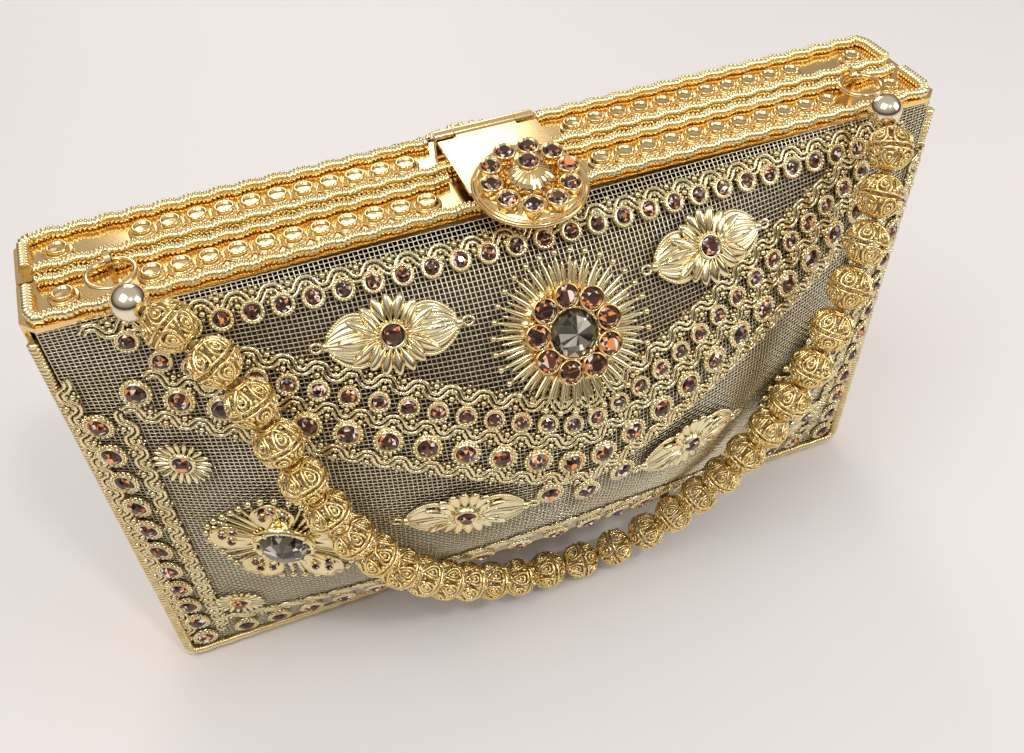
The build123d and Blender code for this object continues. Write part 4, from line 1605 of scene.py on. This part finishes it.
@dataclass
class BeadHandle:
    """Strand of filigree beads on a string, in metres for the route and millimetres for the beads."""

    route: tuple = (
        (-0.0900, -0.0163, 0.1366), (-0.0880, -0.0215, 0.1362), (-0.0814, -0.0282, 0.1337),
        (-0.0728, -0.0354, 0.1226), (-0.0678, -0.0412, 0.1064), (-0.0632, -0.0455, 0.0875),
        (-0.0546, -0.0460, 0.0657), (-0.0437, -0.0425, 0.0459), (-0.0306, -0.0357, 0.0269),
        (-0.0148, -0.0305, 0.0128), (0.0006, -0.0275, 0.0069), (0.0156, -0.0279, 0.0066),
        (0.0304, -0.0314, 0.0155), (0.0425, -0.0374, 0.0336), (0.0529, -0.0436, 0.0560),
        (0.0619, -0.0471, 0.0794), (0.0713, -0.0439, 0.1005), (0.0808, -0.0368, 0.1174),
        (0.0880, -0.0285, 0.1310), (0.0895, -0.0215, 0.1362), (0.0900, -0.0163, 0.1366),
    )
    string: float = 0.6
    bead: float = 5.5
    beads: int = 30
    end_ball: float = 4.0
    end_gap: float = 5.6

    def cord(self) -> bpy.types.Object:
        """Make the string as a smooth curve through the beads."""
        curve = bpy.data.curves.new("handle_thread", "CURVE")
        curve.dimensions = "3D"
        spline = curve.splines.new("NURBS")
        spline.points.add(len(self.route) - 1)
        for point, co in zip(spline.points, self.route):
            point.co = (*co, 1.0)
        spline.order_u = 3
        spline.use_endpoint_u = True
        curve.resolution_u = 24
        curve.materials.append(STRING_CLOTH)
        made = bpy.data.objects.new("handle_thread", curve)
        bpy.context.scene.collection.objects.link(made)
        return made

    def line(self, cord: bpy.types.Object) -> Array:
        """Points of the string's smooth line, before it gets its thickness."""
        bpy.context.view_layer.update()
        mesh = bpy.data.meshes.new_from_object(cord.evaluated_get(bpy.context.evaluated_depsgraph_get()))
        return np.array([vertex.co for vertex in mesh.vertices])

    def seats(self, line: Array, ways: Sequence[float]) -> Seats:
        """Seats along the string at distances from its start, with outward along the string."""
        gone = np.concatenate([[0], np.cumsum(np.linalg.norm(np.diff(line, axis=0), axis=1))])
        at = np.stack([np.interp(ways, gone, line[:, k]) for k in range(3)], 1)
        ahead = np.stack([np.interp(np.array(ways) + 0.002, gone, line[:, k]) for k in range(3)], 1)
        behind = np.stack([np.interp(np.array(ways) - 0.002, gone, line[:, k]) for k in range(3)], 1)
        along = (ahead - behind) / np.linalg.norm(ahead - behind, axis=1)[:, None]
        dice = random.Random(7)
        rights, ups = [], []
        for direction in along:
            start = Vector(direction).orthogonal().normalized()
            turn = Matrix.Rotation(dice.uniform(0, TAU), 3, Vector(direction))
            right = turn @ start
            rights.append(list(right))
            ups.append(list(Vector(direction).cross(right)))
        return Seats(at, np.array(rights), np.array(ups), along)

    def filigree(self) -> bpy.types.Object:
        """Shape one openwork bead: loops, scrolls and rings of wire on a sphere."""
        lines: list[Array] = []
        thick: list[float] = []

        def on_ball(polar: Array, around: Array) -> Array:
            """Points at angles from the pole and round the axis."""
            r = (self.bead - 0.3) * MM
            return np.stack([r * np.sin(polar) * np.cos(around), r * np.sin(polar) * np.sin(around),
                             r * np.cos(polar)], 1)

        ring = np.linspace(0, TAU, 25)
        for polar in (0.33, 0.47, math.pi / 2 - 0.13, math.pi / 2 + 0.13, math.pi - 0.47, math.pi - 0.33):
            lines.append(on_ball(np.full_like(ring, polar), ring))
            thick.append(0.36 * MM)
        t = np.linspace(0, TAU, 17)
        for side in (0, 1):
            for k in range(6):
                middle = TAU * (k + 0.5 * side) / 6
                for size in (1.0, 0.52):
                    polar = 0.98 - 0.5 * size * np.cos(t)
                    around = middle + 0.47 * size * np.sin(t) * (0.75 + 0.25 * np.cos(t + math.pi))
                    lines.append(on_ball(math.pi - polar if side else polar, around))
                    thick.append(0.36 * MM if size == 1.0 else 0.3 * MM)
        made = wires("filigree", lines, thick, BEAD_GOLD, sides=4)
        buds = []
        for side in (-1, 1):
            for k in range(6):
                middle = TAU * (k + 0.5 * (side < 0)) / 6
                for polar, turn, size in ((0.98, 0.0, 0.62), (1.3, 0.52, 0.55), (0.66, 0.52, 0.45)):
                    x, y, z = on_ball(np.array([polar]), np.array([middle + turn]))[0] / MM
                    buds.append(moved(ball(size, BEAD_GOLD, 4, 6), x, y, side * z))
        cap = [(0.75, 0.0), (1.9, 0.1), (2.1, 0.45), (1.5, 0.8), (0.75, 0.95), (0.75, 0.0)]
        for sign in (-1, 1):
            collar = lathe(cap, 14, BEAD_GOLD, smooth=True)
            if sign < 0:
                collar.data.transform(Matrix.Rotation(math.pi, 4, "X"))
            buds.append(moved(collar, 0, 0, sign * (self.bead - 1.15)))
        return joined("filigree", [made, *buds])

    def build(self) -> None:
        cord = self.cord()
        line = self.line(cord)
        cord.data.bevel_depth = self.string * MM
        length = float(np.sum(np.linalg.norm(np.diff(line, axis=0), axis=1)))
        first = (self.end_gap + self.end_ball + self.bead + 0.05) * MM
        pitch = (length - 2 * first) / (self.beads - 1)
        beads = set_pieces("filigree_beads", self.filigree(),
                           self.seats(line, [first + pitch * i for i in range(self.beads)]))
        place(beads, "handle", "gilt_filigree", "handle_beads")
        profile = [(0.8, -3.85)]
        for i in range(1, 16):
            angle = math.pi * i / 16
            profile.append((max(4.0 * math.sin(angle), 0.8), -4.0 * math.cos(angle)))
        profile += [(0.8, 3.85), (0.8, -3.85)]
        end = lathe(profile, 32, BALL_GOLD, smooth=True)
        gaps = [self.end_gap * MM, length - self.end_gap * MM]
        balls = set_pieces("end_balls", end, self.seats(line, gaps))
        place(balls, "handle", "gilt_polished", "handle_balls")
        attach(cord, "handle")
        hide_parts("handle_string")


def dress_metalwork() -> None:
    """Give the kept CAD parts their finishes."""
    gilt = [f"{side.value}_{part}" for side in Side for part in ("top_rail", "side_bands", "foot_band",
                                                                 "hinge_knuckles")]
    gilt += ["clasp_strap", "clasp_bracket", "handle_lugs", "handle_rings"]
    finishes = {name: WARM_GOLD for name in gilt}
    finishes |= {name: STEEL for name in ("hinge_pin", "clasp_pin", "clasp_magnet", "clasp_keeper")}
    for name, finish in finishes.items():
        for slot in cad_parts[name].material_slots:
            slot.material = finish
        log.info("%s keeps its shape in %s", name, finish.name)


@dataclass
class Studio:
    """Pale floor, soft lights and the camera."""

    target: tuple[float, float, float] = (0.0, 0.0, 0.050)
    azimuth: float = -18.865
    elevation: float = 45.57
    roll: float = -3.329
    distance: float = 0.30267
    lens: float = 36.534
    shift: tuple[float, float] = (-0.0051, 0.0314)
    floor_reach: float = 3.0
    floor_level: float = -0.0004
    lamps: tuple = (
        ("key_soft", (-0.5, -0.3, 1.1), 0.7, 4.9, (1.0, 0.97, 0.94)),
        ("fill_soft", (0.9, -0.5, 0.7), 0.6, 3.8, (0.97, 0.98, 1.0)),
        ("rim_soft", (0.1, 1.0, 0.6), 0.5, 2.6, (1.0, 0.96, 0.92)),
        ("spark", (0.15, -0.55, 0.9), 0.08, 1.5, (1.0, 1.0, 1.0)),
    )

    def floor(self) -> None:
        """Lay the pale floor."""
        material, tree, shader = principled("pale_paper", {"Roughness": 0.55, "Specular IOR Level": 0.3})
        place_of = tree.nodes.new("ShaderNodeTexCoord").outputs["Object"]
        cloud = noise(tree, place_of, 3.0, 3.0)
        color = blend_colors(tree, spread(tree, cloud, 0.35, 0.65, 0.0, 1.0), (0.84, 0.80, 0.79),
                             (0.83, 0.81, 0.805))
        tree.links.new(color, shader.inputs["Base Color"])
        corners = ((-1, -1), (1, -1), (1, 1), (-1, 1))
        points = [(x * self.floor_reach, y * self.floor_reach, self.floor_level) for x, y in corners]
        solid("floor", points, [(0, 1, 2, 3)], material)

    def camera(self) -> None:
        """Set up the camera at its angle round the bag."""
        data = bpy.data.cameras.new("camera")
        data.lens, data.sensor_width = self.lens, 36.0
        data.shift_x, data.shift_y = self.shift
        data.clip_start, data.clip_end = 0.01, 20.0
        made = bpy.data.objects.new("camera", data)
        a, e = math.radians(self.azimuth), math.radians(self.elevation)
        back = Vector((math.sin(a) * math.cos(e), -math.cos(a) * math.cos(e), math.sin(e)))
        right = Vector((math.cos(a), math.sin(a), 0))
        up = right.cross(-back)
        roll = math.radians(self.roll)
        c, s = math.cos(roll), math.sin(roll)
        right, up = right * c + up * s, up * c - right * s
        made.matrix_world = Matrix.Translation(Vector(self.target) + back * self.distance) @ Matrix(
            (right, up, back)).transposed().to_4x4()
        bpy.context.scene.collection.objects.link(made)
        bpy.context.scene.camera = made

    def lamp(self, name: str, at: tuple[float, float, float], size: float, power: float,
             color: tuple[float, float, float]) -> None:
        """Hang a soft square lamp that faces the bag."""
        data = bpy.data.lights.new(name, "AREA")
        data.size, data.energy, data.color = size, power, color
        made = bpy.data.objects.new(name, data)
        made.location = at
        made.rotation_euler = (Vector((0, 0, 0.06)) - Vector(at)).to_track_quat("-Z", "Y").to_euler()
        bpy.context.scene.collection.objects.link(made)

    def world(self) -> None:
        """Light the room: bright above, darker round the horizon."""
        world = bpy.data.worlds.new("studio")
        world.use_nodes = True
        bpy.context.scene.world = world
        tree = world.node_tree
        back = tree.nodes["Background"]
        split = tree.nodes.new("ShaderNodeSeparateXYZ")
        tree.links.new(tree.nodes.new("ShaderNodeTexCoord").outputs["Generated"], split.inputs[0])
        ramp = tree.nodes.new("ShaderNodeValToRGB")
        stops = ((0.0, (0.30, 0.24, 0.20)), (0.46, (0.16, 0.12, 0.10)), (0.56, (0.10, 0.08, 0.07)),
                 (0.68, (0.55, 0.50, 0.47)), (0.85, (0.95, 0.91, 0.88)))
        while len(ramp.color_ramp.elements) < len(stops):
            ramp.color_ramp.elements.new(0.5)
        for element, (position, color) in zip(ramp.color_ramp.elements, stops):
            element.position, element.color = position, (*color, 1.0)
        tree.links.new(spread(tree, split.outputs["Z"], -1.0, 1.0, 0.0, 1.0), ramp.inputs["Fac"])
        tree.links.new(ramp.outputs["Color"], back.inputs["Color"])
        back.inputs["Strength"].default_value = 0.6

    def build(self) -> None:
        """Build the studio."""
        self.floor()
        self.camera()
        self.world()
        for lamp in self.lamps:
            self.lamp(*lamp)
        settings = bpy.context.scene.view_settings
        settings.view_transform, settings.look, settings.exposure = "Standard", "None", 0.0


def main() -> None:
    """Build the bag piece by piece, then the studio."""
    logging.basicConfig(level=logging.INFO, format="%(name)s: %(message)s")
    Studio().build()
    BeadHandle().build()
    for side in Side:
        half = Half(side)
        for part in (WovenPanel, GimpEdges, RailStrip, StoneRows, WaveBraid, Motifs):
            part(half).build()
    FlapClasp().build()
    dress_metalwork()


if __name__ == "__main__":
    main()
